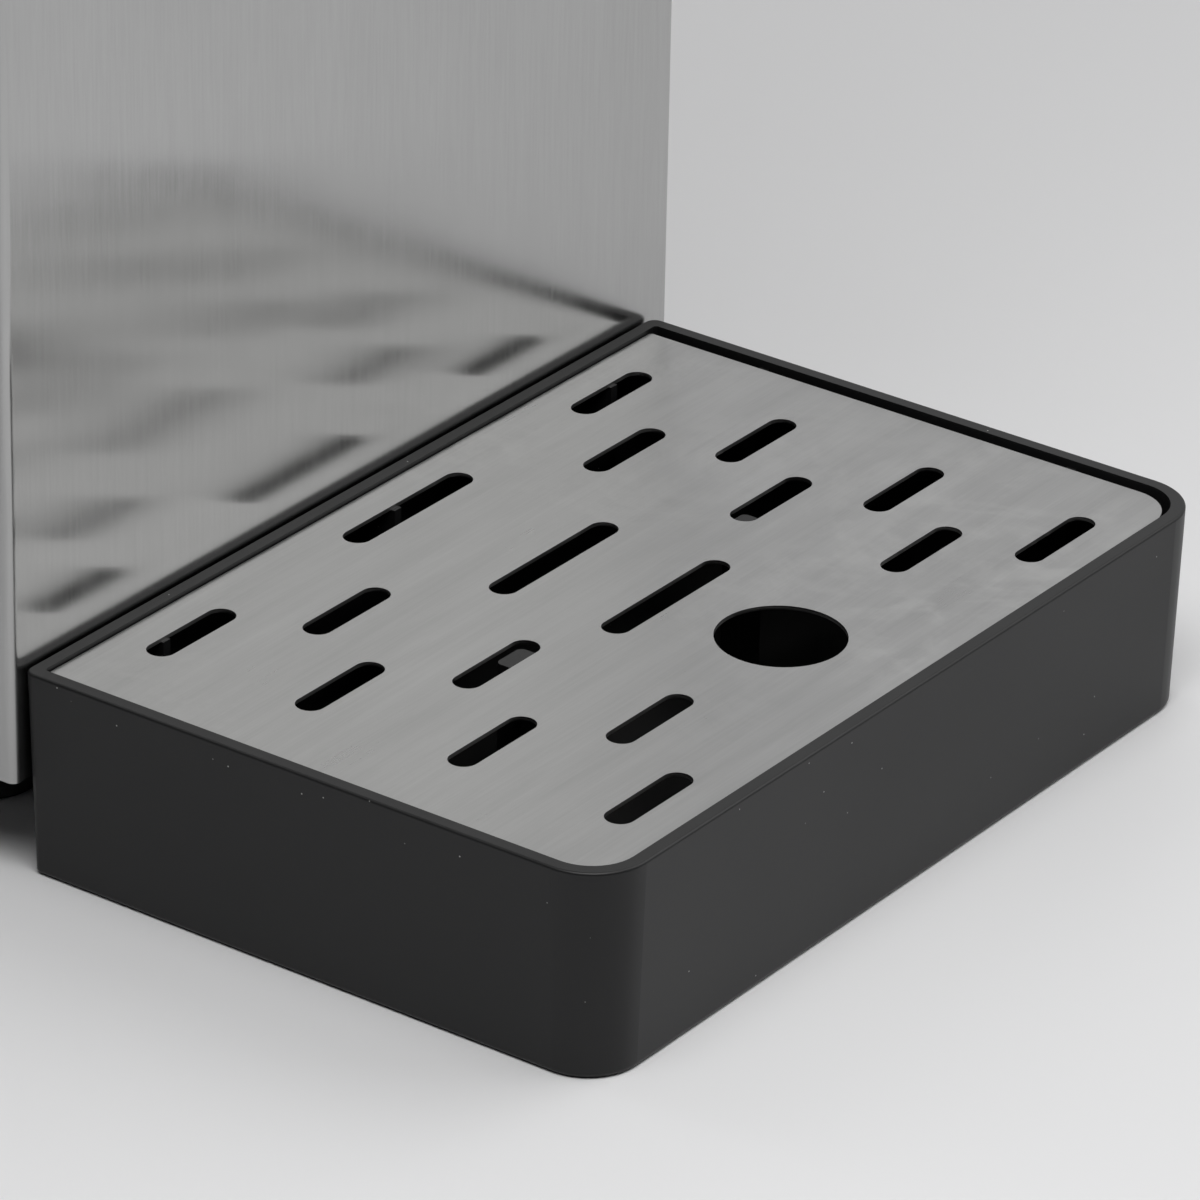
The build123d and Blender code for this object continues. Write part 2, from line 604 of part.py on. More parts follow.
def rocker(x):
    """Rocker key, modelled with its lower end pressed in."""
    half = ROCKER_H / 2
    profile = Polygon((-half, 5.2), (0, 3.8), (half, 5.2), (4.6, -3), (-4.6, -3), align=None)
    side = Plane(origin=(0, 0, 0), x_dir=(0, 1, 0), z_dir=(1, 0, 0))
    key = extrude(side * profile, ROCKER_W / 2, both=True)
    key += extrude(side * Circle(ROCKER_HUB_R), ROCKER_W / 2, both=True)
    key = Pos(0, 0, -ROCKER_PIVOT) * Rot(ROCKER_TILT, 0, 0) * key
    return rear_place(x, SWITCH_Z) * key


KNOB_R = 12.0
KNOB_GAP = 1.0


def thermostat():
    """Cold-water thermostat: round body, threaded bush and spindle."""
    body = Pos(0, 0, -24) * Cylinder(13, 22, align=LOW)
    body += Pos(0, 0, -2 - 0.001) * Cylinder(5, 4.0, align=LOW)
    body += Pos(0, 0, -2) * Cylinder(3, 13, align=LOW)
    body += Pos(0, 8, -32) * Box(5, 1, 9, align=LOW)
    body += Pos(0, -8, -32) * Box(5, 1, 9, align=LOW)
    return rear_place(KNOB_X, KNOB_Z) * body


def thermostat_knob():
    """Fluted control knob with a pointer ridge."""
    knob = Pos(0, 0, KNOB_GAP) * Cylinder(KNOB_R, 14, align=LOW)
    knob = fillet(knob.edges().group_by(Axis.Z)[-1], 1.2)
    for n in range(16):
        angle = n * 2 * pi / 16 + pi / 16
        place = Pos(KNOB_R * cos(angle) * 1.06, KNOB_R * sin(angle) * 1.06, 4.5)
        knob -= place * Cylinder(1.5, 12, align=LOW)
    knob += Pos(0, 6.5, 14.6) * Box(1.6, 7, 1.2, align=LOW)
    knob -= Cylinder(5.4, 3.5, align=LOW)
    knob -= Cylinder(3.3, 11.6, align=LOW)
    return rear_place(KNOB_X, KNOB_Z) * knob


INLET_BORE_R = 4.05
INLET_BORE_DEPTH = 18.0


def water_inlet():
    """Push-fit bulkhead fitting for an 8 mm water pipe."""
    body = extrude(RegularPolygon(12.0, 6, major_radius=False), 5.0)
    body += Cylinder(10.0, 19, align=LOW)
    body += Cylinder(7.4, REAR_REACH - 1.5, align=LOW)
    collar = Pos(0, 0, REAR_REACH - 2.5) * Cylinder(8.6, 2.5, align=LOW)
    collar = fillet(collar.edges().group_by(Axis.Z)[-1], 0.8)
    body += collar
    body += Pos(0, 0, -14) * Cylinder(9.0, 14, align=LOW)
    body += Pos(0, 0, -30) * Cylinder(5.0, 16, align=LOW)
    body -= Pos(0, 0, REAR_REACH - INLET_BORE_DEPTH) * Cylinder(INLET_BORE_R, 30, align=LOW)
    body -= Pos(0, 0, -40) * Cylinder(3.0, 60, align=LOW)
    return rear_place(INLET_X, INLET_Z) * body


def drain_spigot():
    """Threaded spigot that empties the tanks, with a nut flange."""
    body = extrude(RegularPolygon(11.0, 6, major_radius=False), 4.0)
    body += Cylinder(6.0, 17, align=LOW)
    body += Pos(0, 0, -14) * Cylinder(8.0, 14, align=LOW)
    body += Pos(0, 0, -26) * Cylinder(4.6, 12, align=LOW)
    body -= Pos(0, 0, -30) * Cylinder(3.4, 60, align=LOW)
    return rear_place(DRAIN_X, DRAIN_Z) * body


def drain_cap():
    """Rubber cap pushed over the drain spigot, with a pull ring."""
    cap = Pos(0, 0, 5) * Cylinder(9.0, 15, align=LOW)
    cap = fillet(cap.edges().group_by(Axis.Z)[-1], 1.5)
    cap += Pos(0, 0, 5) * Cylinder(10.0, 2.5, align=LOW)
    cap -= Pos(0, 0, 0) * Cylinder(6.3, 17.3, align=LOW)
    return rear_place(DRAIN_X, DRAIN_Z) * cap


def fitting_nuts():
    """Nuts inside the rear panel that clamp the inlet and the drain."""
    nuts = []
    for x, z, radius in ((INLET_X, INLET_Z, 9.0), (DRAIN_X, DRAIN_Z, 8.0)):
        nut = extrude(RegularPolygon(radius + 4.5, 6, major_radius=False), 5.0)
        nut -= Cylinder(radius + 0.1, 12)
        nuts.append(rear_place(x, z) * Pos(0, 0, -SHEET - 5.0) * nut)
    return Compound(children=nuts)


def rating_plate():
    """Thin blank plate riveted to the rear panel."""
    plate = extrude(RectangleRounded(44, 64, 2), 0.5)
    for side in (-1, 1):
        plate += Pos(0, side * 28, 0) * Cylinder(1.6, 1.2, align=LOW)
    return rear_place(78, 300) * plate


save(power_inlet(), "power_inlet")
save(Compound(children=[switch_frame(x) for x in SWITCH_X]), "switch_frames")
for name, x in zip(SWITCH_NAMES, SWITCH_X):
    save(rocker(x), name)
save(thermostat(), "thermostat")
save(thermostat_knob(), "thermostat_knob")
save(water_inlet(), "water_inlet")
save(drain_spigot(), "drain_spigot")
save(drain_cap(), "drain_cap")
save(fitting_nuts(), "fitting_nuts")
save(rating_plate(), "rating_plate")


# ---------------------------------------------------------------- cold side
def inside(x, depth, z):
    """A point inside the body, its depth measured back from the front face."""
    return (x, FACE_Y + depth, z)


COLD_X, COLD_DEPTH = -41.5, 100.0
COLD_R = 60.0
COLD_Z = (56.0, 234.0)
FOAM_Z = (PAN_FLOOR, 252.0)
FOAM_W, FOAM_D = 160.0, 164.0
COIL_R, COIL_WIRE = 64.3, 3.0
COIL_Z, COIL_H = 86.0, 110.0
CAVITY_R = 68.5
PORT_SHIFT = 12.0


def cold_tank():
    """Thin steel tank with two pipe stubs on top and one at the side."""
    low, high = COLD_Z
    x, y, _ = inside(COLD_X, COLD_DEPTH, 0)
    tank = Cylinder(COLD_R, high - low, align=LOW)
    tank = fillet(tank.edges().filter_by(GeomType.CIRCLE), 12)
    hollow = Pos(0, 0, 1) * Cylinder(COLD_R - 1, high - low - 2, align=LOW)
    hollow = fillet(hollow.edges().filter_by(GeomType.CIRCLE), 11)
    for side in (-1, 1):
        tank += Pos(side * PORT_SHIFT, 0, high - low - 0.8) * Cylinder(5, 12, align=LOW)
        hollow += Pos(side * PORT_SHIFT, 0, high - low - 3) * Cylinder(4, 20, align=LOW)
    return Pos(x, y, low) * (tank - hollow)


def evaporator_coil():
    """Copper coil wound round the cold tank, both ends at the back."""
    x, y, _ = inside(COLD_X, COLD_DEPTH, 0)
    path = Helix(pitch=COIL_H / 10, height=COIL_H, radius=COIL_R)
    wire = Plane(origin=path @ 0, z_dir=path % 0) * Circle(COIL_WIRE)
    coil = sweep(wire, path=path, is_frenet=True)
    return Pos(x, y, COIL_Z) * Rot(0, 0, 90) * coil


def insulation(end):
    """Half of the foam block round the cold tank: end is -1 for the front, 1 for the rear."""
    low, high = FOAM_Z
    x, y, _ = inside(COLD_X, COLD_DEPTH, 0)
    half = block(FOAM_W, FOAM_D / 2 - 0.1, high - low, x, y + end * (FOAM_D / 4 + 0.05), low)
    half -= rod(CAVITY_R, COLD_Z[1] + 2 - COLD_Z[0], x, y, COLD_Z[0])
    half -= rod(20, 40, x, y, COLD_Z[1])
    half -= rod(8, 12, -FOOT_X, FOOT_Y[0], low)
    if end > 0:
        for z in (COIL_Z, COIL_Z + COIL_H):
            half -= rod_y(6, y + 60, y + 100, x, z)
    return half


save(cold_tank(), "cold_tank")
save(evaporator_coil(), "evaporator_coil")
save(insulation(-1), "insulation_front")
save(insulation(1), "insulation_rear")

# ---------------------------------------------------------------- hot side
HOT_X, HOT_DEPTH = 82.0, 72.0
HOT_R = 34.0
HOT_Z = (60.0, 228.0)
HOT_PORT = 18.0


def hot_tank():
    """Thin steel tank with a heater opening and two pipe stubs on top."""
    low, high = HOT_Z
    x, y, _ = inside(HOT_X, HOT_DEPTH, 0)
    tank = Cylinder(HOT_R, high - low, align=LOW)
    tank = fillet(tank.edges().filter_by(GeomType.CIRCLE), 10)
    hollow = Pos(0, 0, 1) * Cylinder(HOT_R - 1, high - low - 2, align=LOW)
    hollow = fillet(hollow.edges().filter_by(GeomType.CIRCLE), 9)
    hollow += Pos(0, 0, high - low - 3) * Cylinder(9, 6, align=LOW)
    for side in (-1, 1):
        tank += Pos(0, side * HOT_PORT, high - low - 0.8) * Cylinder(4.6, 11, align=LOW)
        hollow += Pos(0, side * HOT_PORT, high - low - 3) * Cylinder(3.6, 20, align=LOW)
    return Pos(x, y, low) * (tank - hollow)


def hot_jacket():
    """Insulating sleeve round the hot tank."""
    x, y, _ = inside(HOT_X, HOT_DEPTH, 0)
    sleeve = rod(HOT_R + 5, HOT_Z[1] - HOT_Z[0] - 4, x, y, HOT_Z[0] + 2)
    return sleeve - rod(HOT_R + 0.4, 300, x, y, HOT_Z[0] - 10)


def heater_element():
    """Sheathed heating loop on a screwed flange, with two terminals."""
    x, y, _ = inside(HOT_X, HOT_DEPTH, 0)
    top = HOT_Z[1]
    flange = rod(11, 4, x, y, top) + rod(8.7, 6, x, y, top - 5)
    loop = tube([(x - 5, y, top), (x - 5, y, top - 130), (x + 5, y, top - 130), (x + 5, y, top)], 2.4, 4.9)
    terminals = rod(2.4, 12, x - 5, y, top + 3) + rod(2.4, 12, x + 5, y, top + 3)
    return flange + loop + terminals


def hot_tank_stand():
    """Folded stool that lifts the hot tank off the pan."""
    x, y, _ = inside(HOT_X, HOT_DEPTH, 0)
    top = HOT_Z[0]
    stand = block(64, 60, 1.5, x, y, top - 1.5)
    for side in (-1, 1):
        stand += block(1.5, 60, top - PAN_FLOOR, x + side * 31.25, y, PAN_FLOOR)
        stand += block(14, 60, 1.5, x + side * 25, y, PAN_FLOOR)
    return stand - rod(12, 10, x, y, top - 5)


save(hot_tank(), "hot_tank")
save(hot_jacket(), "hot_jacket")
save(heater_element(), "heater_element")
save(hot_tank_stand(), "hot_tank_stand")

# ---------------------------------------------------------------- refrigeration set
COMP_X, COMP_DEPTH = -56.0, 262.0
COMP_R = 52.0
COMP_Z = (39.0, 158.0)
COMP_PLATE = (116.0, 104.0, 3.0)
COMP_BOLT = (50.0, 44.0)
COOLER = (132.0, 30.0, 134.0)
COOLER_DEPTH = 331.0
FAN_SIZE, FAN_T = 120.0, 25.0
FAN_DEPTH = 290.0
FAN_R = 55.5
BLADES = 7


def comp_bolts():
    """The four bolt positions of the compressor."""
    x, y, _ = inside(COMP_X, COMP_DEPTH, 0)
    return [(x + i * COMP_BOLT[0], y + j * COMP_BOLT[1]) for i in (-1, 1) for j in (-1, 1)]


def compressor():
    """Welded compressor can on its foot plate, with a terminal cover."""
    x, y, _ = inside(COMP_X, COMP_DEPTH, 0)
    low, high = COMP_Z
    can = Cylinder(COMP_R, high - low, align=LOW)
    can = fillet(can.edges().group_by(Axis.Z)[-1], 28)
    can = fillet(can.edges().group_by(Axis.Z)[0], 12)
    can += Pos(0, 0, 58) * Cylinder(COMP_R + 2.5, 5, align=LOW)
    can += Pos(COMP_R, 0, 20) * Box(24, 40, 36, align=LOW)
    width, depth, thick = COMP_PLATE
    plate = extrude(RectangleRounded(width, depth, 10), thick)
    body = Pos(x, y, low) * can + Pos(x, y, low - thick + 0.001) * plate
    for bolt_x, bolt_y in comp_bolts():
        body -= rod(6.0, 10, bolt_x, bolt_y, low - 6)
    return body


def grommet(x, y):
    """Rubber mount between the foot plate and the pan."""
    top = COMP_Z[0]
    body = rod(9, top - COMP_PLATE[2] - PAN_FLOOR, x, y, PAN_FLOOR)
    body += rod(5.8, 6, x, y, top - COMP_PLATE[2] - 1)
    body += rod(9, 3, x, y, top + 0.05)
    return body - rod(3.3, 60, x, y, PAN_FLOOR - 5)


def comp_bolt(x, y):
    """Weld stud with a washer and nut."""
    top = COMP_Z[0] + 3.1
    stud = rod(3, top + 10 - PAN_FLOOR, x, y, PAN_FLOOR)
    stud += rod(7, 1.2, x, y, top)
    return stud + Pos(x, y, top + 1.2) * extrude(RegularPolygon(5, 6, major_radius=False), 5)


def condenser():
    """Finned heat exchanger between two end plates that stand on the pan."""
    x, y, z = inside(COOLING_X, COOLER_DEPTH, COOLING_Z)
    width, depth, height = COOLER
    pieces = []
    for side in (-1, 1):
        pieces.append(block(1.2, depth, height, x + side * width / 2, y, z - height / 2))
        leg_h = z - height / 2 - PAN_FLOOR + 5
        pieces.append(block(1.2, 14, leg_h, x + side * width / 2, y - depth / 2 + 7, PAN_FLOOR))
    fins = 22
    for n in range(fins):
        fin_x = x - width / 2 + (n + 1) * width / (fins + 1)
        pieces.append(block(0.8, depth, height - 4, fin_x, y, z - height / 2 + 2))
    rows = 6
    for n in range(rows):
        row_z = z - height / 2 + (n + 0.5) * height / rows
        pipe = Pos(x - width / 2 - 2, y, row_z) * Rot(0, 90, 0) * Cylinder(3.5, width + 7, align=LOW)
        pieces.append(pipe)
    return pieces[0].fuse(*pieces[1:])


def fan_frame():
    """Square fan housing with a hub on four struts."""
    frame = extrude(RectangleRounded(FAN_SIZE, FAN_SIZE, 6), FAN_T)
    frame -= Cylinder(FAN_R + 2, 80)
    for i in (-1, 1):
        for j in (-1, 1):
            frame -= Pos(i * 52.5, j * 52.5) * Cylinder(2.2, 80)
    hub = Cylinder(20, 5, align=LOW)
    for n in range(4):
        hub += Rot(0, 0, 45 + n * 90) * Pos(39, 0, 0) * Box(42, 4, 4, align=LOW)
    hub -= Cylinder(3.4, 20)
    place = Plane(origin=inside(COOLING_X, FAN_DEPTH + FAN_T, COOLING_Z), x_dir=(1, 0, 0), z_dir=(0, -1, 0))
    return place.location * (frame + hub)


def fan_rotor():
    """Seven-blade axial rotor with its shaft."""
    rotor = Cylinder(19, 17, align=LOW)
    rotor = fillet(rotor.edges().group_by(Axis.Z)[-1], 2.5)
    for n in range(BLADES):
        turn = Rot(0, 0, n * 360 / BLADES)
        rotor += turn * Pos(35.5, 0, 8.5) * Rot(35, 0, 0) * Box(37, 24, 1.6)
    rotor = Pos(0, 0, 6.5) * rotor + Pos(0, 0, 1) * Cylinder(3.0, 8, align=LOW)
    place = Plane(origin=inside(COOLING_X, FAN_DEPTH + FAN_T, COOLING_Z), x_dir=(1, 0, 0), z_dir=(0, -1, 0))
    return place.location * rotor


def refrigerant_pipes():
    """Copper pipes of the cooling circuit, with the filter drier in the liquid line."""
    high, low = COOLING_Z + COOLER[2] * 5 / 12, COOLING_Z - COOLER[2] * 5 / 12
    side = COOLING_X + COOLER[0] / 2 + 5.2
    hot = [
        inside(-30, COMP_DEPTH, COMP_Z[1] + 0.3),
        inside(-30, COMP_DEPTH, 182),
        inside(44, COMP_DEPTH, 182),
        inside(44, COOLER_DEPTH, 182),
        inside(44, COOLER_DEPTH, high),
        inside(side, COOLER_DEPTH, high),
    ]
    liquid = [
        inside(side, COOLER_DEPTH, low),
        inside(58, COOLER_DEPTH, low),
        inside(58, COOLER_DEPTH, 148),
    ]
    capillary = [
        inside(58, COOLER_DEPTH, 98),
        inside(58, COOLER_DEPTH, COIL_Z),
        inside(58, 196, COIL_Z),
        inside(COLD_X, 196, COIL_Z),
        inside(COLD_X, COLD_DEPTH + COIL_R + 3.4, COIL_Z),
    ]
    suction = [
        inside(COLD_X, COLD_DEPTH + COIL_R + 3.4, COIL_Z + COIL_H),
        inside(COLD_X, 196, COIL_Z + COIL_H),
        inside(-80, 196, COIL_Z + COIL_H),
        inside(-80, COMP_DEPTH - 17, COIL_Z + COIL_H),
        inside(-80, COMP_DEPTH - 17, COMP_Z[1] + 0.6),
    ]
    x, y, _ = inside(58, COOLER_DEPTH, 0)
    drier = rod(8, 52, x, y, 97)
    drier = fillet(drier.edges().filter_by(GeomType.CIRCLE), 5)
    liquid_line = tube(liquid, 3, 6) + drier + tube(capillary, 1.6, 5)
    return Compound(children=[tube(hot, 3, 8), liquid_line, tube(suction, 3, 8)])


save(compressor(), "compressor")
save(Compound(children=[grommet(x, y) for x, y in comp_bolts()]), "compressor_grommets")
save(Compound(children=[comp_bolt(x, y) for x, y in comp_bolts()]), "compressor_studs")
save(condenser(), "condenser")
save(fan_frame(), "fan_frame")
save(fan_rotor(), "fan_rotor")
save(refrigerant_pipes(), "refrigerant_pipes")

# ---------------------------------------------------------------- valves, hoses and power
VALVE_X = (COLD_X - PORT_SHIFT, -SPOUT_X, SPOUT_X)
VALVE_DEPTH = 90.0
SHELF_Z = 278.0
VALVE_AXIS_Z = SHELF_Z + 1.5 + 8.0
HOSE_R = 4.0
MAIN_Z = 262.0
OUT_Z = 348.0


def valve_bracket():
    """Folded shelf on the foam block that carries the three outlet valves."""
    x, y, _ = inside(COLD_X + 2, VALVE_DEPTH, 0)
    shelf = block(146, 60, 1.5, x, y, SHELF_Z)
    for side in (-1, 1):
        shelf += block(1.5, 60, SHELF_Z - FOAM_Z[1] + 1, x + side * 72.25, y, FOAM_Z[1])
        shelf += block(13, 60, 1.5, x + side * 66.5, y, FOAM_Z[1])
    return shelf


def valve_body(length):
    """Solenoid valve on the X-Y origin, flow along Y, its coil above."""
    body = Box(22, length, 16)
    body = fillet(body.edges().filter_by(Axis.Z), 3)
    body += Pos(0, 0, 8) * Cylinder(9, 5, align=LOW)
    coil = Pos(0, 0, 12) * Box(28, 28, 26, align=LOW)
    body += fillet(coil.edges().filter_by(Axis.Z), 3)
    body += Pos(0, 0, 38) * Cylinder(6, 3, align=LOW)
    body += Pos(0, 17, 26) * Box(12, 8, 6)
    barbs = rod_y(4.6, -length / 2 - 13, length / 2 + 13, 0, 0)
    return body + barbs


def hose(points, bend=6.0):
    """Silicone hose along the given points."""
    return tube(points, HOSE_R, bend)


TEE_R = 5.6
TEE_L = 15.0


def tee(x, depth, z, turn):
    """Moulded sleeve around a junction, thicker than the hoses it joins."""
    return Pos(*inside(x, depth, z)) * turn * Cylinder(TEE_R, TEE_L)


def water_hoses():
    """Feed, tank and outlet hoses, with the tees moulded in."""
    cold, ambient, hot = VALVE_X
    axis = VALVE_AXIS_Z
    front, rear = VALVE_DEPTH - 38.4, VALVE_DEPTH + 38.4
    turn = rear + 13
    feed = hose([
        inside(HOT_X, 284.7, INLET_Z),
        inside(HOT_X, 276, INLET_Z),
        inside(HOT_X, 276, MAIN_Z),
        inside(HOT_X, HOT_DEPTH + HOT_PORT, MAIN_Z),
        inside(HOT_X, HOT_DEPTH + HOT_PORT, HOT_Z[1] + 10.4),
    ])
    feed += hose([
        inside(HOT_X, 200, MAIN_Z),
        inside(COLD_X + PORT_SHIFT, 200, MAIN_Z),
        inside(COLD_X + PORT_SHIFT, COLD_DEPTH, MAIN_Z),
        inside(COLD_X + PORT_SHIFT, COLD_DEPTH, COLD_Z[1] + 11.5),
    ])
    feed += hose([inside(ambient, 200, MAIN_Z), inside(ambient, 200, axis), inside(ambient, rear, axis)])
    feed += tee(HOT_X, 200, MAIN_Z, Rot(90, 0, 0))
    feed += tee(ambient, 200, MAIN_Z, Rot(0, 90, 0))
    from_cold = hose([
        inside(cold, COLD_DEPTH, COLD_Z[1] + 11.5),
        inside(cold, COLD_DEPTH, MAIN_Z),
        inside(cold, turn, MAIN_Z),
        inside(cold, turn, axis),
        inside(cold, rear, axis),
    ])
    from_hot = hose([
        inside(HOT_X, HOT_DEPTH - HOT_PORT, HOT_Z[1] + 10.4),
        inside(HOT_X, HOT_DEPTH - HOT_PORT, 258),
        inside(48, HOT_DEPTH - HOT_PORT, 258),
        inside(48, turn, 258),
        inside(hot, turn, 258),
        inside(hot, turn, axis),
        inside(hot, rear, axis),
    ])
    out_cold = hose([
        inside(cold, front, axis),
        inside(cold, 30, axis),
        inside(cold, 30, 320),
        inside(-SPOUT_X, 30, 320),
        inside(-SPOUT_X, 30, OUT_Z),
        inside(-SPOUT_X, SPOUT_Y - FACE_Y, OUT_Z),
        inside(-SPOUT_X, SPOUT_Y - FACE_Y, 340.3),
    ])
    out_cold += tee(ambient, 30, 320, Rot(0, 0, 0))
    out_cold += hose([inside(ambient, front, axis), inside(ambient, 30, axis), inside(ambient, 30, 314)])
    out_hot = hose([
        inside(hot, front, axis),
        inside(hot, 30, axis),
        inside(hot, 30, OUT_Z),
        inside(SPOUT_X, SPOUT_Y - FACE_Y, OUT_Z),
        inside(SPOUT_X, SPOUT_Y - FACE_Y, 340.3),
    ])
    drain = hose([
        inside(DRAIN_X, BODY_D - 26.4, DRAIN_Z),
        inside(DRAIN_X, 190, DRAIN_Z),
        inside(COLD_X + FOAM_W / 2 + 0.4, 190, DRAIN_Z),
    ])
    return Compound(children=[feed, from_cold, from_hot, out_cold, out_hot, drain])


POWER_BOX = (56.0, 76.0, 46.0)


def power_box():
    """Closed box with the power board, its lid and two cable glands."""
    width, depth, height = POWER_BOX
    x, y, _ = inside(90, 228, 0)
    box = block(width, depth, height, x, y, PAN_FLOOR)
    box = fillet(box.edges().filter_by(Axis.Z), 3)
    lid = block(width + 3, depth + 3, 3, x, y, PAN_FLOOR + height)
    box += fillet(lid.edges().filter_by(Axis.Z), 4)
    gland = Pos(x - width / 2 - 5, y + 10, PAN_FLOOR + 14) * Rot(0, 90, 0) * Cylinder(6, 8, align=LOW)
    box += gland
    box += rod(6, 6, x + 18, y - 20, PAN_FLOOR + height)
    return box


def wiring():
    """Mains lead inside the body, and the loom up to the control board."""
    mains = tube([
        inside(SOCKET_X, BODY_D - 26, SOCKET_Z - 11),
        inside(SOCKET_X, BODY_D - 26, 38),
        inside(38, BODY_D - 26, 38),
        inside(38, 238, 38),
        inside(38, 238, PAN_FLOOR + 14),
        inside(56.8, 238, PAN_FLOOR + 14),
    ], 3.2, 1.0)
    loom = tube([
        inside(108, 208, PAN_FLOOR + 52.3),
        inside(108, 208, 356),
        inside(38, 208, 356),
        inside(38, -26, 356),
    ], 3.2, 8)
    return Compound(children=[mains, loom])


save(valve_bracket(), "valve_bracket")
valves = [Pos(*inside(x, VALVE_DEPTH, VALVE_AXIS_Z)) * valve_body(50) for x in VALVE_X]
save(Compound(children=valves), "outlet_valves")
save(Pos(*inside(INLET_X, 312.0, INLET_Z)) * valve_body(28), "inlet_valve")
save(water_hoses(), "water_hoses")
save(power_box(), "power_box")
save(wiring(), "wiring")
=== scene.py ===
"""Countertop water dispenser: brushed steel body, black head and drip tray, and the works inside."""
import math

import bmesh
import bpy
from mathutils import Matrix, Vector


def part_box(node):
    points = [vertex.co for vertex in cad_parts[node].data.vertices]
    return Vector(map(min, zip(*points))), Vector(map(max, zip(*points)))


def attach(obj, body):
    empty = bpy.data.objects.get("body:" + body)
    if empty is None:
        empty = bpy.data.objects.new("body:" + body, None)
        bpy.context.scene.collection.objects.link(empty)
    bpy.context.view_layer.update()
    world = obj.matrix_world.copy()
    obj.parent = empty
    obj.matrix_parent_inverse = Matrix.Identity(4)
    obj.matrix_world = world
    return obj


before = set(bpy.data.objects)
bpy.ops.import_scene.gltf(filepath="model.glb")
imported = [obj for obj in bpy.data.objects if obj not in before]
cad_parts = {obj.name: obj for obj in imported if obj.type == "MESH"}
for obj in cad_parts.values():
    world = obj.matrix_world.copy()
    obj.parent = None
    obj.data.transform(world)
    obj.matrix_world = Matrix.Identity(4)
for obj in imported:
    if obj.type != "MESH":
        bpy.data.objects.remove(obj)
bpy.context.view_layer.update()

# ------------------------------------------------------------------ steel body
# One stainless sheet, 1 mm thick, folded round the front and both sides. The mill brushes the
# sheet before it is folded, so the grain runs straight up all three faces and smears what the
# steel mirrors sideways.
BODY_STEEL = (0.45, 0.45, 0.447)
GRAIN_STRETCH = 190  # how many times longer a brush line is than wide


def group(name, inputs, outputs):
    """An empty shader node group with the named sockets, and its two end nodes."""
    tree = bpy.data.node_groups.new(name, "ShaderNodeTree")
    for label, kind, value in inputs:
        socket = tree.interface.new_socket(label, in_out="INPUT", socket_type=f"NodeSocket{kind}")
        if value is not None:
            socket.default_value = value
    for label, kind in outputs:
        tree.interface.new_socket(label, in_out="OUTPUT", socket_type=f"NodeSocket{kind}")
    return tree, tree.nodes.new("NodeGroupInput"), tree.nodes.new("NodeGroupOutput")


def join(tree, socket, value):
    """Links value to a socket, or sets the socket to it when it is a plain value."""
    if isinstance(value, bpy.types.NodeSocket):
        tree.links.new(value, socket)
    else:
        socket.default_value = value


def put(tree, kind, values=(), **settings):
    """A node of one kind, with its settings, and its inputs set or linked by name."""
    node = tree.nodes.new(kind)
    for key, value in settings.items():
        setattr(node, key, value)
    for key, value in dict(values).items():
        join(tree, node.inputs[key], value)
    return node


def sums(tree, operation, first, second, clamp=False):
    """The result of one Math node."""
    node = put(tree, "ShaderNodeMath", {0: first, 1: second}, operation=operation, use_clamp=clamp)
    return node.outputs[0]


def about_middle(tree, value, amount):
    """A value from 0 to 1, moved to lie about 0 and scaled."""
    return sums(tree, "MULTIPLY", sums(tree, "SUBTRACT", value, 0.5), amount)


def ramp(tree, value, low, high, start=0.0, end=1.0):
    """value, from start at low to end at high."""
    levels = {"Value": value, "From Min": low, "From Max": high, "To Min": start, "To Max": end}
    return put(tree, "ShaderNodeMapRange", levels).outputs["Result"]


def blend_colour(tree, amount, first, second):
    """Mixes two colours."""
    node = put(tree, "ShaderNodeMix", data_type="RGBA")
    for index, value in ((0, amount), (6, first), (7, second)):
        join(tree, node.inputs[index], value)
    return node.outputs[2]


def noise(tree, place, scale, detail=2.0, roughness=0.5):
    """The value of a noise texture."""
    values = {"Vector": place, "Scale": scale, "Detail": detail, "Roughness": roughness}
    return put(tree, "ShaderNodeTexNoise", values).outputs[0]


def stretched(tree, place, scale, turn=(0, 0, 0)):
    """Object coordinates, scaled and turned."""
    return put(tree, "ShaderNodeMapping", {"Vector": place, "Scale": scale, "Rotation": turn}).outputs[0]


grain_group, taken, given = group(
    "brushed grain",
    [("Place", "Vector", None), ("Hairline", "Float", 1.0), ("Patchiness", "Float", 1.0)],
    [("Tone", "Float"), ("Roughness", "Float"), ("Height", "Float")],
)
place = put(grain_group, "ShaderNodeTexCoord").outputs["Object"]
wide_place = put(
    grain_group, "ShaderNodeVectorMath", {0: taken.outputs["Place"], 1: (0.13,) * 3}, operation="MULTIPLY"
).outputs[0]
hair = noise(grain_group, taken.outputs["Place"], 1.0, 3.0)
hair = about_middle(grain_group, hair, taken.outputs["Hairline"])
band = about_middle(grain_group, noise(grain_group, wide_place, 1.0), taken.outputs["Hairline"])
cloud = about_middle(grain_group, noise(grain_group, place, 26.0, 5.0, 0.62), taken.outputs["Patchiness"])
tone = sums(grain_group, "MULTIPLY", hair, 0.34)
tone = sums(grain_group, "ADD", tone, sums(grain_group, "MULTIPLY", band, 0.05))
tone = sums(grain_group, "ADD", tone, sums(grain_group, "MULTIPLY", cloud, 0.16))
join(grain_group, given.inputs["Tone"], sums(grain_group, "ADD", tone, 0.5))
uneven = sums(grain_group, "MULTIPLY", hair, 0.06)
uneven = sums(grain_group, "ADD", uneven, sums(grain_group, "MULTIPLY", cloud, 0.10))
join(grain_group, given.inputs["Roughness"], uneven)
join(grain_group, given.inputs["Height"], hair)


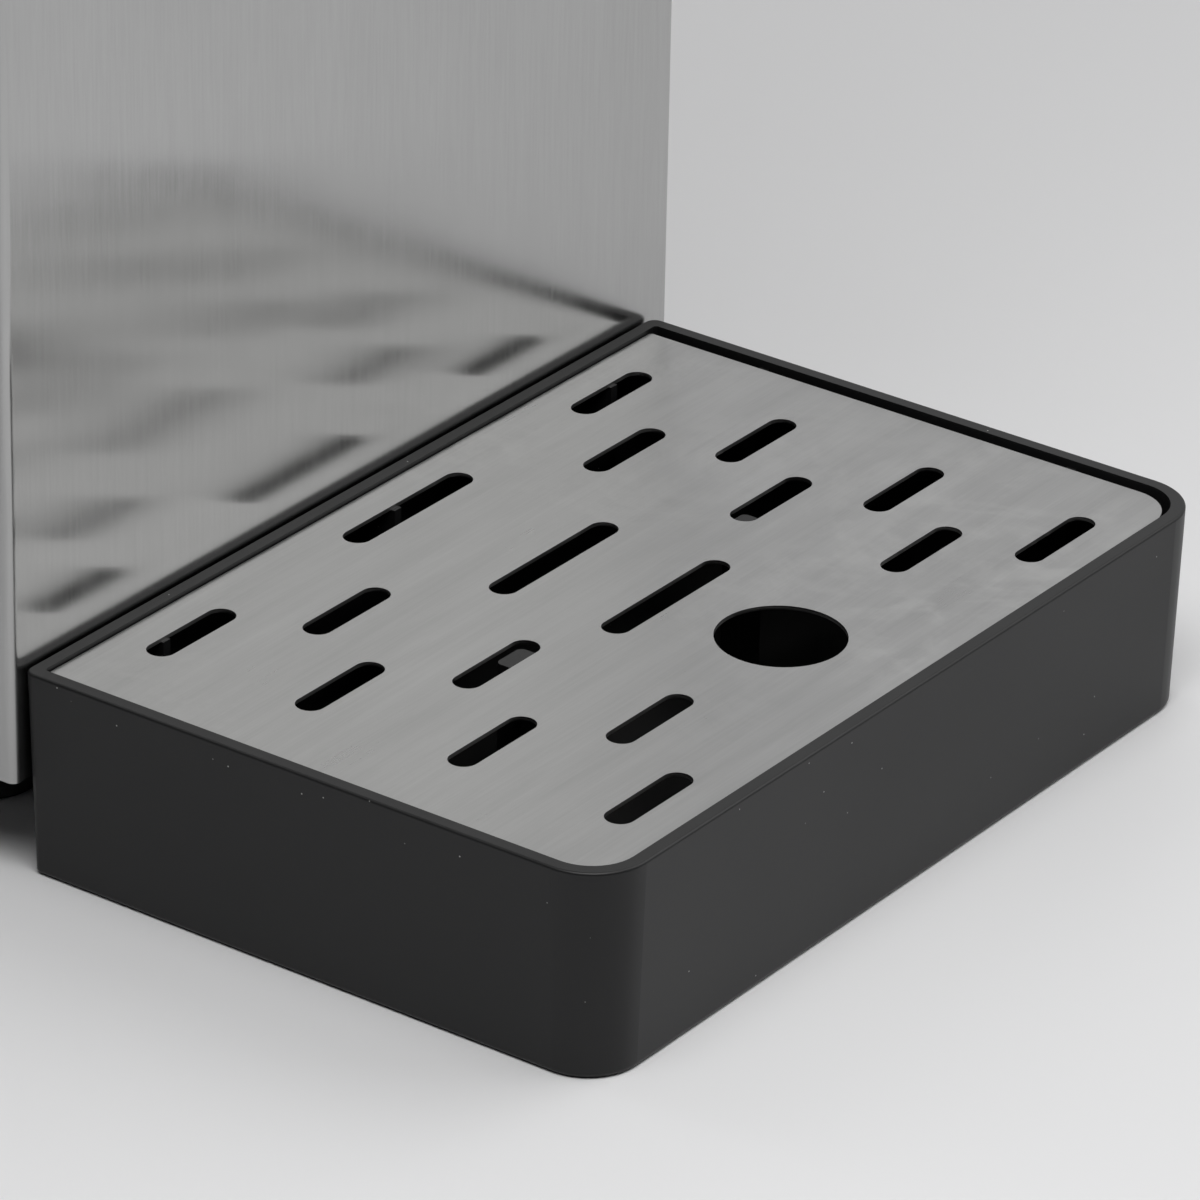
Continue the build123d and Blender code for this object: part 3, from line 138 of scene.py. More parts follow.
def new_material(name, colour, roughness, metallic=0.0):
    """A material with its Principled shader set, and the tree to add to."""
    material = bpy.data.materials.new(name)
    material.use_nodes = True
    shader = material.node_tree.nodes["Principled BSDF"]
    shader.inputs["Base Color"].default_value = (*colour, 1)
    shader.inputs["Roughness"].default_value = roughness
    shader.inputs["Metallic"].default_value = metallic
    material.diffuse_color = (*colour, 1)
    return material, material.node_tree, shader


def relief(tree, shader, height, distance, strength=0.6):
    """Gives a shader the bump of a height."""
    bump = put(tree, "ShaderNodeBump", {"Height": height, "Distance": distance, "Strength": strength})
    join(tree, shader.inputs["Normal"], bump.outputs[0])


def brushed(name, colour, roughness, along, hairline=1.0, patchiness=1.0, fineness=4200.0, smear=0.0,
            stretch=GRAIN_STRETCH):
    """Brushed metal whose grain runs along one axis, given as 0, 1 or 2."""
    material, tree, shader = new_material(name, colour, roughness, 1.0)
    if smear:
        shader.inputs["Anisotropic"].default_value = smear
        across = put(tree, "ShaderNodeTangent", direction_type="RADIAL", axis="XYZ"[along])
        join(tree, shader.inputs["Tangent"], across.outputs[0])
    scale = [fineness] * 3
    scale[along] = fineness / stretch
    place = put(tree, "ShaderNodeTexCoord").outputs["Object"]
    grain = put(tree, "ShaderNodeGroup", node_tree=grain_group)
    join(tree, grain.inputs["Place"], stretched(tree, place, scale))
    grain.inputs["Hairline"].default_value = hairline
    grain.inputs["Patchiness"].default_value = patchiness
    dark = tuple(c * 0.72 for c in colour) + (1,)
    light = tuple(min(1, c * 1.24) for c in colour) + (1,)
    join(tree, shader.inputs["Base Color"], blend_colour(tree, grain.outputs["Tone"], dark, light))
    level = sums(tree, "ADD", grain.outputs["Roughness"], roughness, clamp=True)
    join(tree, shader.inputs["Roughness"], level)
    relief(tree, shader, grain.outputs["Height"], 0.000008)
    return material


def dress(material, *names):
    """Gives CAD nodes a material in all their slots."""
    for name in names:
        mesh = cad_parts[name].data
        if not mesh.materials:
            mesh.materials.append(material)
        for index in range(len(mesh.materials)):
            mesh.materials[index] = material


body_steel = brushed(
    "brushed stainless body", BODY_STEEL, 0.175, 2, patchiness=1.6, fineness=1700, smear=0.95, stretch=34
)
dress(body_steel, "steel_wrap")

# ------------------------------------------------------------------ drip tray
# A deep injection-moulded tray in black ABS with a satin, spark-eroded face. It stands on the
# table on its own and lifts away for emptying. Pale dust specks and fine scuffs show on it.
SATIN_BLACK = (0.008, 0.008, 0.0084)
DUST_GREY = (0.30, 0.30, 0.29, 1)
SPECK_WHITE = (0.62, 0.62, 0.60, 1)

mould_group, taken, given = group(
    "moulded plastic",
    [
        ("Scale", "Float", 2600.0), ("Dust", "Float", 0.3),
        ("Specks", "Float", 0.0), ("Scuffs", "Float", 0.3),
    ],
    [("Height", "Float"), ("Dust", "Float"), ("Specks", "Float"), ("Scuff", "Float"), ("Sheen", "Float")],
)
place = put(mould_group, "ShaderNodeTexCoord").outputs["Object"]
join(mould_group, given.inputs["Height"], noise(mould_group, place, taken.outputs["Scale"]))
cells = put(mould_group, "ShaderNodeTexVoronoi", {"Vector": place, "Scale": 300.0})
chosen = put(mould_group, "ShaderNodeSeparateColor", {0: cells.outputs["Color"]}).outputs[0]
speck = sums(
    mould_group, "MULTIPLY",
    ramp(mould_group, cells.outputs["Distance"], 0.03, 0.07, 1.0, 0.0),
    ramp(mould_group, chosen, 0.86, 0.90),
)
speck = sums(mould_group, "MULTIPLY", speck, taken.outputs["Specks"], clamp=True)
join(mould_group, given.inputs["Specks"], speck)
thin = noise(mould_group, place, 40.0, 4.0)
normal = put(mould_group, "ShaderNodeNewGeometry").outputs["Normal"]
facing = put(mould_group, "ShaderNodeSeparateXYZ", {0: normal})
film = sums(mould_group, "MULTIPLY", ramp(mould_group, facing.outputs["Z"], 0.3, 0.95, 0.0, 0.5), thin)
film = sums(mould_group, "MULTIPLY", film, taken.outputs["Dust"], clamp=True)
join(mould_group, given.inputs["Dust"], film)
scratches = noise(mould_group, stretched(mould_group, place, (30, 900, 900), (0.3, 0.2, 0.5)), 1.0, 3.0)
scuff = sums(mould_group, "MULTIPLY", ramp(mould_group, scratches, 0.66, 0.74), taken.outputs["Scuffs"])
join(mould_group, given.inputs["Scuff"], scuff)
sheen = about_middle(mould_group, noise(mould_group, place, 9.0, 3.0), 0.14)
join(mould_group, given.inputs["Sheen"], sheen)


def moulded(name, colour, roughness, dust=0.3, scuffs=0.3, specks=0.0, bump=0.000012,
            scale=2600.0, gloss=0.5):
    """Moulded plastic or rubber with a fine textured face, dust on top and light scuffs."""
    material, tree, shader = new_material(name, colour, roughness)
    shader.inputs["Specular IOR Level"].default_value = gloss
    face = put(tree, "ShaderNodeGroup", node_tree=mould_group)
    for label, value in (("Scale", scale), ("Dust", dust), ("Specks", specks), ("Scuffs", scuffs)):
        face.inputs[label].default_value = value
    worn = tuple(min(1.0, c * 1.6 + 0.02) for c in colour) + (1,)
    base = blend_colour(tree, face.outputs["Scuff"], (*colour, 1), worn)
    base = blend_colour(tree, face.outputs["Dust"], base, DUST_GREY)
    join(tree, shader.inputs["Base Color"], blend_colour(tree, face.outputs["Specks"], base, SPECK_WHITE))
    level = sums(tree, "ADD", face.outputs["Sheen"], roughness)
    level = sums(tree, "ADD", level, sums(tree, "MULTIPLY", face.outputs["Dust"], 0.25), clamp=True)
    join(tree, shader.inputs["Roughness"], level)
    relief(tree, shader, face.outputs["Height"], bump, 0.5)
    return material


tray_black = moulded(
    "satin black tray", SATIN_BLACK, 0.42, dust=0.1, scuffs=0.08, specks=0.8, gloss=0.34
)
dress(tray_black, "drip_tray")

# ------------------------------------------------------------------ drip grate
# A flat stainless plate, punched with slots and one finger hole and brushed along the slots. It
# lies loose on the tray's ribs and posts. Wiping leaves long faint smears, and dried water
# leaves a few dull patches.
GRATE_STEEL = (0.475, 0.475, 0.47)

grate_steel = brushed(
    "brushed grate", GRATE_STEEL, 0.32, 0, patchiness=1.8, fineness=1900, smear=0.6, stretch=60
)
tree = grate_steel.node_tree
shader = tree.nodes["Principled BSDF"]
place = put(tree, "ShaderNodeTexCoord").outputs["Object"]
smears = noise(tree, stretched(tree, place, (14, 120, 1), (0, 0, 0.12)), 1.0, 4.0, 0.6)
smears = about_middle(tree, smears, 0.55)
bend = put(tree, "ShaderNodeTexNoise", {"Vector": place, "Scale": 16.0, "Detail": 2.0})
bent = put(tree, "ShaderNodeVectorMath", {0: bend.outputs["Color"], 1: (0.05,) * 3}, operation="MULTIPLY")
bent = put(tree, "ShaderNodeVectorMath", {0: bent.outputs[0], 1: place}, operation="ADD")
patches = ramp(tree, noise(tree, bent.outputs[0], 95.0, 5.0, 0.66), 0.46, 0.66)
where = ramp(tree, noise(tree, place, 11.0), 0.48, 0.62)
patches = sums(tree, "MULTIPLY", patches, where)
base = shader.inputs["Base Color"].links[0].from_socket
tone = sums(tree, "ADD", smears, 0.5, clamp=True)
grey = put(tree, "ShaderNodeCombineColor", {0: tone, 1: tone, 2: tone}).outputs[0]
wiped = put(tree, "ShaderNodeMix", data_type="RGBA", blend_type="OVERLAY")
for index, value in ((0, 0.35), (6, base), (7, grey)):
    join(tree, wiped.inputs[index], value)
dull = blend_colour(tree, sums(tree, "MULTIPLY", patches, 0.40), wiped.outputs[2], (0.62, 0.62, 0.61, 1))
join(tree, shader.inputs["Base Color"], dull)
rough = shader.inputs["Roughness"].links[0].from_socket
rough = sums(tree, "ADD", rough, sums(tree, "MULTIPLY", smears, 0.25))
rough = sums(tree, "ADD", rough, sums(tree, "MULTIPLY", patches, 0.10), clamp=True)
join(tree, shader.inputs["Roughness"], rough)
dress(grate_steel, "drip_grate")

# ------------------------------------------------------------------ head shell, collar and top cover
# Black ABS mouldings with the same satin face as the tray: the head over the outlets, the
# collar under it that both spouts come through, and the lid that closes the steel body.
shell_black = moulded(
    "satin black shell", SATIN_BLACK, 0.40, dust=0.16, scuffs=0.1, specks=0.3, gloss=0.36
)
dress(shell_black, "head_shell", "top_cover", "spout_collar")

# ------------------------------------------------------------------ control plate
# A thin brushed stainless plate glued into the recess of the head's slope. Its corners are
# rounded, and its brush lines run from side to side.
dress(brushed("brushed control plate", GRATE_STEEL, 0.30, 0, patchiness=0.7, smear=0.5), "control_plate")

# ------------------------------------------------------------------ push buttons and their rings
# Smooth black caps with a dished top that slide in polished rings clipped through the plate.
# Each cap carries a pad-printed sign: a snowflake, a drop, rising steam and a padlock.
CAP_NAMES = ("cold", "ambient", "hot", "hot_lock")
PLATE_NORMAL = Vector((0, -60, 74)).normalized()  # square to the head's slope
PLATE_UP = Vector((0, 74, 60)).normalized()
DISH_R = 0.060  # radius of the hollow in a cap's top
DISH_DEPTH = 0.0009  # how far the hollow's middle lies below the cap's edge
LINE_W = 0.0008
INK_T = 0.00010
INK_STEP = 0.0005

cap_black = moulded("smooth black cap", (0.02, 0.02, 0.022), 0.28, dust=0.05, scuffs=0.1, scale=1200)
dress(cap_black, *(f"{name}_button" for name in CAP_NAMES))
polished = brushed("polished steel", (0.68, 0.68, 0.67), 0.12, 2, hairline=0.25, patchiness=0.3)
dress(polished, "button_bezels")
ink = moulded("white printing ink", (0.66, 0.66, 0.64), 0.5, dust=0.0, scuffs=0.5)


def arc(middle, radius, start, end, steps=20):
    """Points of an arc, in millimetres, with its angles in degrees."""
    angles = [math.radians(start + (end - start) * n / steps) for n in range(steps + 1)]
    return [(middle[0] + radius * math.cos(a), middle[1] + radius * math.sin(a)) for a in angles]


def spokes():
    """A six-armed ice crystal with a small chevron on each arm."""
    lines = []
    for n in range(6):
        turn = Matrix.Rotation(math.radians(60 * n + 30), 2)
        arm = [(0.0, 0.0), (5.0, 0.0)]
        chevron = [(4.5, 1.3), (3.2, 0.0), (4.5, -1.3)]
        lines += [[tuple(turn @ Vector(p)) for p in line] for line in (arm, chevron)]
    return lines


def waves():
    """Three rising wavy lines."""
    rise = [n / 16 for n in range(17)]
    wave = [(0.8 * math.sin(2 * math.pi * t), -4.2 + 8.4 * t) for t in rise]
    return [[(x + shift, y) for shift, y in wave] for x in (-3.0, 0.0, 3.0)]


DROP = [(0, 5.2)] + arc((0, -1.4), 3.3, 25, -205, 28) + [(0, 5.2)]
PADLOCK_BODY = [(-3.4, -4.4), (3.4, -4.4), (3.4, 0.6), (-3.4, 0.6), (-3.4, -4.4)]
PADLOCK_BOW = [(2.2, 0.6)] + arc((0, 2.2), 2.2, 0, 180) + [(-2.2, 0.6)]
SIGNS = {"cold": spokes(), "ambient": [DROP], "hot": waves(), "hot_lock": [PADLOCK_BODY, PADLOCK_BOW]}


def dense(line):
    """A line's points in metres, with extra ones so that it can follow the hollow."""
    points = [Vector(p) / 1000 for p in line]
    out = [points[0]]
    for first, last in zip(points, points[1:]):
        steps = max(1, round((last - first).length / INK_STEP))
        out += [first.lerp(last, n / steps) for n in range(1, steps + 1)]
    return out


def cap_middle(name):
    """The middle of a cap's upper edge."""
    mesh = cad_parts[f"{name}_button"].data
    heights = [v.co.dot(PLATE_NORMAL) for v in mesh.vertices]
    top = [v.co for v, h in zip(mesh.vertices, heights) if h > max(heights) - 0.00005]
    return sum(top, Vector()) / len(top)


def printed_line(mesh, line, middle):
    """Adds one raised ink line that follows the hollow of a cap."""
    points = dense(line)
    rings = []
    for n, point in enumerate(points):
        ahead = points[min(n + 1, len(points) - 1)] - points[max(n - 1, 0)]
        side = Vector((-ahead.y, ahead.x)).normalized() * LINE_W / 2
        ring = []
        for offset, lift in ((-1, -INK_T), (1, -INK_T), (1, INK_T), (-1, INK_T)):
            flat = point + side * offset
            depth = DISH_R - math.sqrt(DISH_R ** 2 - flat.length_squared) - DISH_DEPTH + lift
            across = Vector((flat.x, 0, 0)) + PLATE_UP * flat.y
            ring.append(mesh.verts.new(middle + across + PLATE_NORMAL * depth))
        rings.append(ring)
    for first, last in zip(rings, rings[1:]):
        for n in range(4):
            mesh.faces.new((first[n], first[(n + 1) % 4], last[(n + 1) % 4], last[n]))
    mesh.faces.new(rings[0][::-1])
    mesh.faces.new(rings[-1])


def finished(name, mesh, material, body):
    """A new piece that rides on a body, with its normals outward."""
    bmesh.ops.recalc_face_normals(mesh, faces=mesh.faces)
    data = bpy.data.meshes.new(name)
    mesh.to_mesh(data)
    mesh.free()
    data.materials.append(material)
    piece = bpy.data.objects.new(name, data)
    bpy.context.scene.collection.objects.link(piece)
    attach(piece, body)
    return piece


for name, lines in SIGNS.items():
    sign = bmesh.new()
    for line in lines:
        printed_line(sign, line, cap_middle(name))
    finished(f"{name}_sign", sign, ink, f"{name}_button")

# ------------------------------------------------------------------ lamps and work light
# Clear acrylic lenses pressed through the plate above each button, and a frosted bar in the
# head's underside that lights the cup. None is lit.
lens = moulded("frosted acrylic", (0.62, 0.66, 0.68), 0.22, dust=0.0, scuffs=0.05, bump=0.00002)
lens.node_tree.nodes["Principled BSDF"].inputs["Transmission Weight"].default_value = 0.35
dress(lens, "indicator_lamps", "work_light")

# ------------------------------------------------------------------ spouts
# Two straight lengths of stainless tube with a turned nozzle on each tip, polished all over
# and pushed up through the collar.
dress(polished, "cold_spout", "hot_spout")

# ------------------------------------------------------------------ head bracket and bolts
# A folded plate of galvanised steel that carries the head's weight, bolted through the front
# of the body. The zinc shows its large crystals.
crystal_group, taken, given = group(
    "crystals and cells",
    [("Scale", "Float", 120.0), ("Grit", "Float", 900.0)],
    [("Tone", "Float"), ("Height", "Float")],
)
place = put(crystal_group, "ShaderNodeTexCoord").outputs["Object"]
cells = put(crystal_group, "ShaderNodeTexVoronoi", {"Vector": place, "Scale": taken.outputs["Scale"]})
flake = put(crystal_group, "ShaderNodeSeparateColor", {0: cells.outputs["Color"]}).outputs[0]
grit = noise(crystal_group, place, taken.outputs["Grit"], 3.0)
mixed = sums(crystal_group, "MULTIPLY", flake, 0.6)
mixed = sums(crystal_group, "ADD", mixed, sums(crystal_group, "MULTIPLY", grit, 0.4))
join(crystal_group, given.inputs["Tone"], mixed)
height = sums(crystal_group, "SUBTRACT", grit, cells.outputs["Distance"])
join(crystal_group, given.inputs["Height"], height)


def celled(name, dark, light, roughness, scale, grit=900.0, metallic=0.0, bump=0.00002):
    """A finish made of cells: zinc crystals, foam beads or packed fibre."""
    material, tree, shader = new_material(name, light, roughness, metallic)
    face = put(tree, "ShaderNodeGroup", node_tree=crystal_group)
    face.inputs["Scale"].default_value = scale
    face.inputs["Grit"].default_value = grit
    base = blend_colour(tree, face.outputs["Tone"], (*dark, 1), (*light, 1))
    join(tree, shader.inputs["Base Color"], base)
    level = sums(tree, "ADD", about_middle(tree, face.outputs["Tone"], 0.16), roughness, clamp=True)
    join(tree, shader.inputs["Roughness"], level)
    relief(tree, shader, face.outputs["Height"], bump)
    return material


zinc_sheet = celled("galvanised sheet", (0.40, 0.41, 0.42), (0.58, 0.59, 0.60), 0.40, 130, metallic=1.0)
dress(zinc_sheet, "head_bracket")
zinc_plate = brushed("zinc plate", (0.60, 0.60, 0.58), 0.26, 2, hairline=0.2, patchiness=1.8)
dress(zinc_plate, "bracket_bolts")

# ------------------------------------------------------------------ control board
# A glass-fibre board in green solder mask, screwed behind the plate, with one tactile switch
# under each button.
dress(celled("solder mask", (0.012, 0.085, 0.03), (0.03, 0.16, 0.06), 0.35, 420, 1600), "control_board")

# ------------------------------------------------------------------ base pan, feet and their screws
# A folded galvanised pan carries everything inside. Moulded rubber feet are held under it by
# zinc-plated pan-head screws.
dress(zinc_sheet, "base_pan")
rubber = moulded("black rubber", (0.02, 0.02, 0.02), 0.75, dust=0.3, scuffs=0.2, bump=0.00003)
dress(rubber, "foot_front_left", "foot_front_right", "foot_rear_left", "foot_rear_right")
dress(zinc_plate, "foot_screws")

# ------------------------------------------------------------------ rear panel and lid screws
# Sheet steel in black powder coat, with rows of pressed vents. It is screwed to the body's
# flanges, and two more screws hold the lid.
rear_paint = moulded(
    "black powder coat", (0.022, 0.022, 0.023), 0.55, dust=0.12, scuffs=0.08, specks=0.2,
    bump=0.00008, scale=900,
)
dress(rear_paint, "rear_panel")
dress(zinc_plate, "rear_panel_screws", "top_cover_screws")

# ------------------------------------------------------------------ rating plate
# A small blank plate of thin aluminium, brushed from side to side. It is stuck to the rear
# panel.
dress(brushed("satin aluminium", (0.62, 0.63, 0.64), 0.35, 0, hairline=0.6, smear=0.4), "rating_plate")

# ------------------------------------------------------------------ mains inlet and rocker switches
# A three-pin inlet and two snap-in switch frames, moulded in black nylon. The power key is
# green and the heater key red, both in glossy nylon.
switch_black = moulded("gloss black nylon", (0.015, 0.015, 0.015), 0.25, dust=0.1)
dress(switch_black, "power_inlet", "switch_frames")
dress(moulded("green rocker", (0.02, 0.22, 0.06), 0.22, dust=0.05), "power_switch")
dress(moulded("red rocker", (0.40, 0.02, 0.015), 0.22, dust=0.05), "heater_switch")

# ------------------------------------------------------------------ thermostat, knob and its scale
# The cold-water thermostat is a plated can with a threaded bush. Its fluted black knob turns
# through three quarters of a turn beside a scale of printed marks that grow towards cold.
MARKS = 11
SWEEP = math.radians(270)
SCALE_R = 0.0165

dress(zinc_plate, "thermostat")
dress(switch_black, "thermostat_knob")


def nodes_tree(name, inputs):
    """An empty Geometry Nodes tree with a mesh in and out and the named inputs."""
    tree = bpy.data.node_groups.new(name, "GeometryNodeTree")
    tree.interface.new_socket("Geometry", in_out="INPUT", socket_type="NodeSocketGeometry")
    for label, kind in inputs:
        tree.interface.new_socket(label, in_out="INPUT", socket_type=f"NodeSocket{kind}")
    tree.interface.new_socket("Geometry", in_out="OUTPUT", socket_type="NodeSocketGeometry")
    return tree, tree.nodes.new("NodeGroupInput").outputs, tree.nodes.new("NodeGroupOutput").inputs[0]


def close_tree(tree, shape, finish, output):
    """Ends a tree: instances made real, and the finish put on them."""
    real = put(tree, "GeometryNodeRealizeInstances", {0: shape}).outputs[0]
    coated = put(tree, "GeometryNodeSetMaterial", {"Geometry": real, "Material": finish})
    join(tree, output, coated.outputs[0])


def grown(name, tree, values, place, body):
    """Runs a tree and keeps its result as a plain mesh that rides on a body."""
    seed = bpy.data.objects.new(name + "_seed", bpy.data.meshes.new(name + "_seed"))
    bpy.context.scene.collection.objects.link(seed)
    modifier = seed.modifiers.new("grow", "NODES")
    modifier.node_group = tree
    for item in tree.interface.items_tree:
        if item.in_out == "INPUT" and item.name in values:
            modifier[item.identifier] = values[item.name]
    ready = seed.evaluated_get(bpy.context.evaluated_depsgraph_get())
    data = bpy.data.meshes.new_from_object(ready)
    bpy.data.objects.remove(seed)
    data.transform(Matrix.Translation(place))
    piece = bpy.data.objects.new(name, data)
    bpy.context.scene.collection.objects.link(piece)
    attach(piece, body)
    return piece


tree, inputs, output = nodes_tree(
    "dial marks",
    [("Marks", "Int"), ("Sweep", "Float"), ("Radius", "Float"), ("Mark", "Vector"), ("Ink", "Material")],
)
count = put(tree, "GeometryNodeMeshLine", {"Count": inputs["Marks"], "Offset": (0, 0, 0)})
last = sums(tree, "SUBTRACT", inputs["Marks"], 1)
part = sums(tree, "DIVIDE", put(tree, "GeometryNodeInputIndex").outputs[0], last)
angle = sums(tree, "MULTIPLY", sums(tree, "SUBTRACT", part, 0.5), inputs["Sweep"])
spin = put(tree, "ShaderNodeCombineXYZ", {1: angle}).outputs[0]
out = put(tree, "ShaderNodeCombineXYZ", {2: inputs["Radius"]}).outputs[0]
around = put(tree, "ShaderNodeVectorRotate", {"Vector": out, "Rotation": spin}, rotation_type="EULER_XYZ")
moved = {"Geometry": count.outputs[0], "Position": around.outputs[0]}
spread = put(tree, "GeometryNodeSetPosition", moved)
bar = put(tree, "GeometryNodeMeshCube", {"Size": inputs["Mark"]}).outputs[0]
wider = ramp(tree, part, 0, 1, 0.6, 1.6)
growth = put(tree, "ShaderNodeCombineXYZ", {0: wider, 1: 1.0, 2: 1.0}).outputs[0]
bars = put(
    tree, "GeometryNodeInstanceOnPoints",
    {"Points": spread.outputs[0], "Instance": bar, "Rotation": spin, "Scale": growth},
)
close_tree(tree, bars.outputs[0], inputs["Ink"], output)
knob_low, knob_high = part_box("thermostat_knob")
panel_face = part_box("rear_panel")[1].y
grown(
    "thermostat_scale", tree,
    {"Marks": MARKS, "Sweep": SWEEP, "Radius": SCALE_R, "Mark": (0.0008, 0.0002, 0.0028), "Ink": ink},
    ((knob_low.x + knob_high.x) / 2, panel_face, (knob_low.z + knob_high.z) / 2),
    "cabinet",
)

# ------------------------------------------------------------------ water fittings
# The inlet, drain spigot and their nuts are turned and moulded in pale acetal. A rubber cap
# plugs the drain.
acetal = moulded("pale acetal", (0.62, 0.62, 0.60), 0.38, dust=0.1, scuffs=0.2)
dress(acetal, "water_inlet", "drain_spigot", "fitting_nuts")
dress(rubber, "drain_cap")

# ------------------------------------------------------------------ tanks and heater
# Both tanks are thin stainless drawings, welded round the middle. The hot one stands on a
# galvanised frame in a fibre sleeve, with a sheathed element through its lid.
dress(brushed("tank steel", (0.58, 0.58, 0.57), 0.3, 2), "cold_tank", "hot_tank")
dress(zinc_sheet, "hot_tank_stand")
fibre = celled("packed fibre", (0.20, 0.21, 0.22), (0.38, 0.39, 0.41), 0.9, 700, 2200, bump=0.0003)
dress(fibre, "hot_jacket")
dress(moulded("oxidised sheath", (0.2, 0.2, 0.21), 0.5, scale=700, bump=0.00004), "heater_element")

# ------------------------------------------------------------------ foam round the cold tank
# Two moulded halves of white expanded foam close round the tank and its coil. The beads show
# on their faces.
foam = celled("bead foam", (0.70, 0.71, 0.72), (0.84, 0.85, 0.86), 0.8, 330, 1500, bump=0.0004)
dress(foam, "insulation_front", "insulation_rear")

# ------------------------------------------------------------------ compressor, coil and pipes
# A pressed and welded can in black paint, on rubber grommets over zinc-plated studs. Bare
# copper pipe runs to the condenser and the coil round the cold tank.
dress(moulded("compressor paint", (0.015, 0.015, 0.016), 0.35, bump=0.00003, scale=700), "compressor")
dress(rubber, "compressor_grommets")
dress(zinc_plate, "compressor_studs")
copper = brushed("bare copper", (0.72, 0.35, 0.20), 0.28, 2, hairline=0.3, patchiness=2.2)
dress(copper, "evaporator_coil", "refrigerant_pipes")

# ------------------------------------------------------------------ condenser
# Aluminium fins pressed onto copper tube between two end plates. Thin fins fill the spaces
# between the thicker ones that hold the stack square.
FIN_PITCH_SHARE = 4  # one thick fin in four
THICK_FINS = 22
COOLER_W, COOLER_D, COOLER_H = 0.132, 0.030, 0.134

aluminium = brushed("bare aluminium", (0.62, 0.63, 0.64), 0.35, 2, hairline=0.3)
dress(aluminium, "condenser")
tree, inputs, output = nodes_tree(
    "fin stack",
    [("Fins", "Int"), ("Width", "Float"), ("Fin", "Vector"), ("Skip", "Int"), ("Metal", "Material")],
)
pitch = sums(tree, "DIVIDE", inputs["Width"], sums(tree, "ADD", inputs["Fins"], 1))
half = sums(tree, "MULTIPLY", inputs["Width"], 0.5)
start = put(tree, "ShaderNodeCombineXYZ", {0: sums(tree, "SUBTRACT", pitch, half)})
step = put(tree, "ShaderNodeCombineXYZ", {0: pitch})
row = put(
    tree, "GeometryNodeMeshLine",
    {"Count": inputs["Fins"], "Start Location": start.outputs[0], "Offset": step.outputs[0]},
)
index = put(tree, "GeometryNodeInputIndex").outputs[0]
thin = sums(tree, "MODULO", sums(tree, "ADD", index, 1), inputs["Skip"])
fin = put(tree, "GeometryNodeMeshCube", {"Size": inputs["Fin"]}).outputs[0]
fins = put(
    tree, "GeometryNodeInstanceOnPoints",
    {"Points": row.outputs[0], "Instance": fin, "Selection": sums(tree, "GREATER_THAN", thin, 0.5)},
)
close_tree(tree, fins.outputs[0], inputs["Metal"], output)
cooler_low, cooler_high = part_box("condenser")
fan_low, fan_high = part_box("fan_frame")
fin_count = (THICK_FINS + 1) * FIN_PITCH_SHARE - 1
fin_size = (0.0002, COOLER_D - 0.002, COOLER_H - 0.006)
grown(
    "condenser_thin_fins", tree,
    {"Fins": fin_count, "Width": COOLER_W, "Fin": fin_size, "Skip": FIN_PITCH_SHARE, "Metal": aluminium},
    ((fan_low.x + fan_high.x) / 2, (cooler_low.y + cooler_high.y) / 2, (fan_low.z + fan_high.z) / 2),
    "cabinet",
)

# ------------------------------------------------------------------ fan
# A square black frame holds a moulded seven-blade rotor on its hub. It draws air through the
# condenser.
dress(moulded("black fan", (0.02, 0.02, 0.022), 0.45), "fan_frame", "fan_rotor")

# ------------------------------------------------------------------ valves and hoses
# White solenoid valves are screwed to a galvanised bracket. Milky silicone hose joins them to
# the tanks and the spouts.
dress(zinc_sheet, "valve_bracket")
dress(moulded("white nylon", (0.66, 0.66, 0.63), 0.4, dust=0.1), "outlet_valves", "inlet_valve")
hose = moulded("milky silicone", (0.66, 0.68, 0.69), 0.42, dust=0.2, bump=0.00002)
hose.node_tree.nodes["Principled BSDF"].inputs["Transmission Weight"].default_value = 0.25
dress(hose, "water_hoses")

# ------------------------------------------------------------------ power box and wiring
# A closed grey moulded box holds the power board and is screwed to the pan. Black sheathed
# cable leaves it by its gland.
dress(moulded("grey polycarbonate", (0.22, 0.225, 0.23), 0.45), "power_box")
dress(rubber, "wiring")

# ------------------------------------------------------------------ table
# A plain pale laminate worktop with a light texture. It is large enough to run out of sight
# behind.
TABLE_GREY = (0.78, 0.78, 0.785)

table = bmesh.new()
bmesh.ops.create_grid(table, x_segments=1, y_segments=1, size=12)
surface = bpy.data.meshes.new("table")
table.to_mesh(surface)
table.free()
surface.materials.append(moulded("pale laminate", TABLE_GREY, 0.55, dust=0.0, scuffs=0.0, bump=0.00001))
stand = bpy.data.objects.new("table", surface)
bpy.context.scene.collection.objects.link(stand)

# ------------------------------------------------------------------ light
# A pale glow from behind on the right, and five soft boxes: overhead, at the front, behind,
# high on the left, and close over the tray. The rest of the surround is nearly dark.
SURROUND = (0.015, 0.015, 0.015, 1)
GLOW = (0.62, 0.62, 0.625, 1)
GLOW_SIDE = (0.741, 0.601, 0.300)

world = bpy.data.worlds.new("studio")
bpy.context.scene.world = world
world.use_nodes = True
ray = put(world.node_tree, "ShaderNodeTexCoord").outputs["Generated"]
lobe = put(world.node_tree, "ShaderNodeVectorMath", {0: ray, 1: GLOW_SIDE}, operation="DOT_PRODUCT")
amount = ramp(world.node_tree, lobe.outputs["Value"], 0.2, 0.95)
surround = world.node_tree.nodes["Background"]
join(world.node_tree, surround.inputs["Color"], blend_colour(world.node_tree, amount, SURROUND, GLOW))


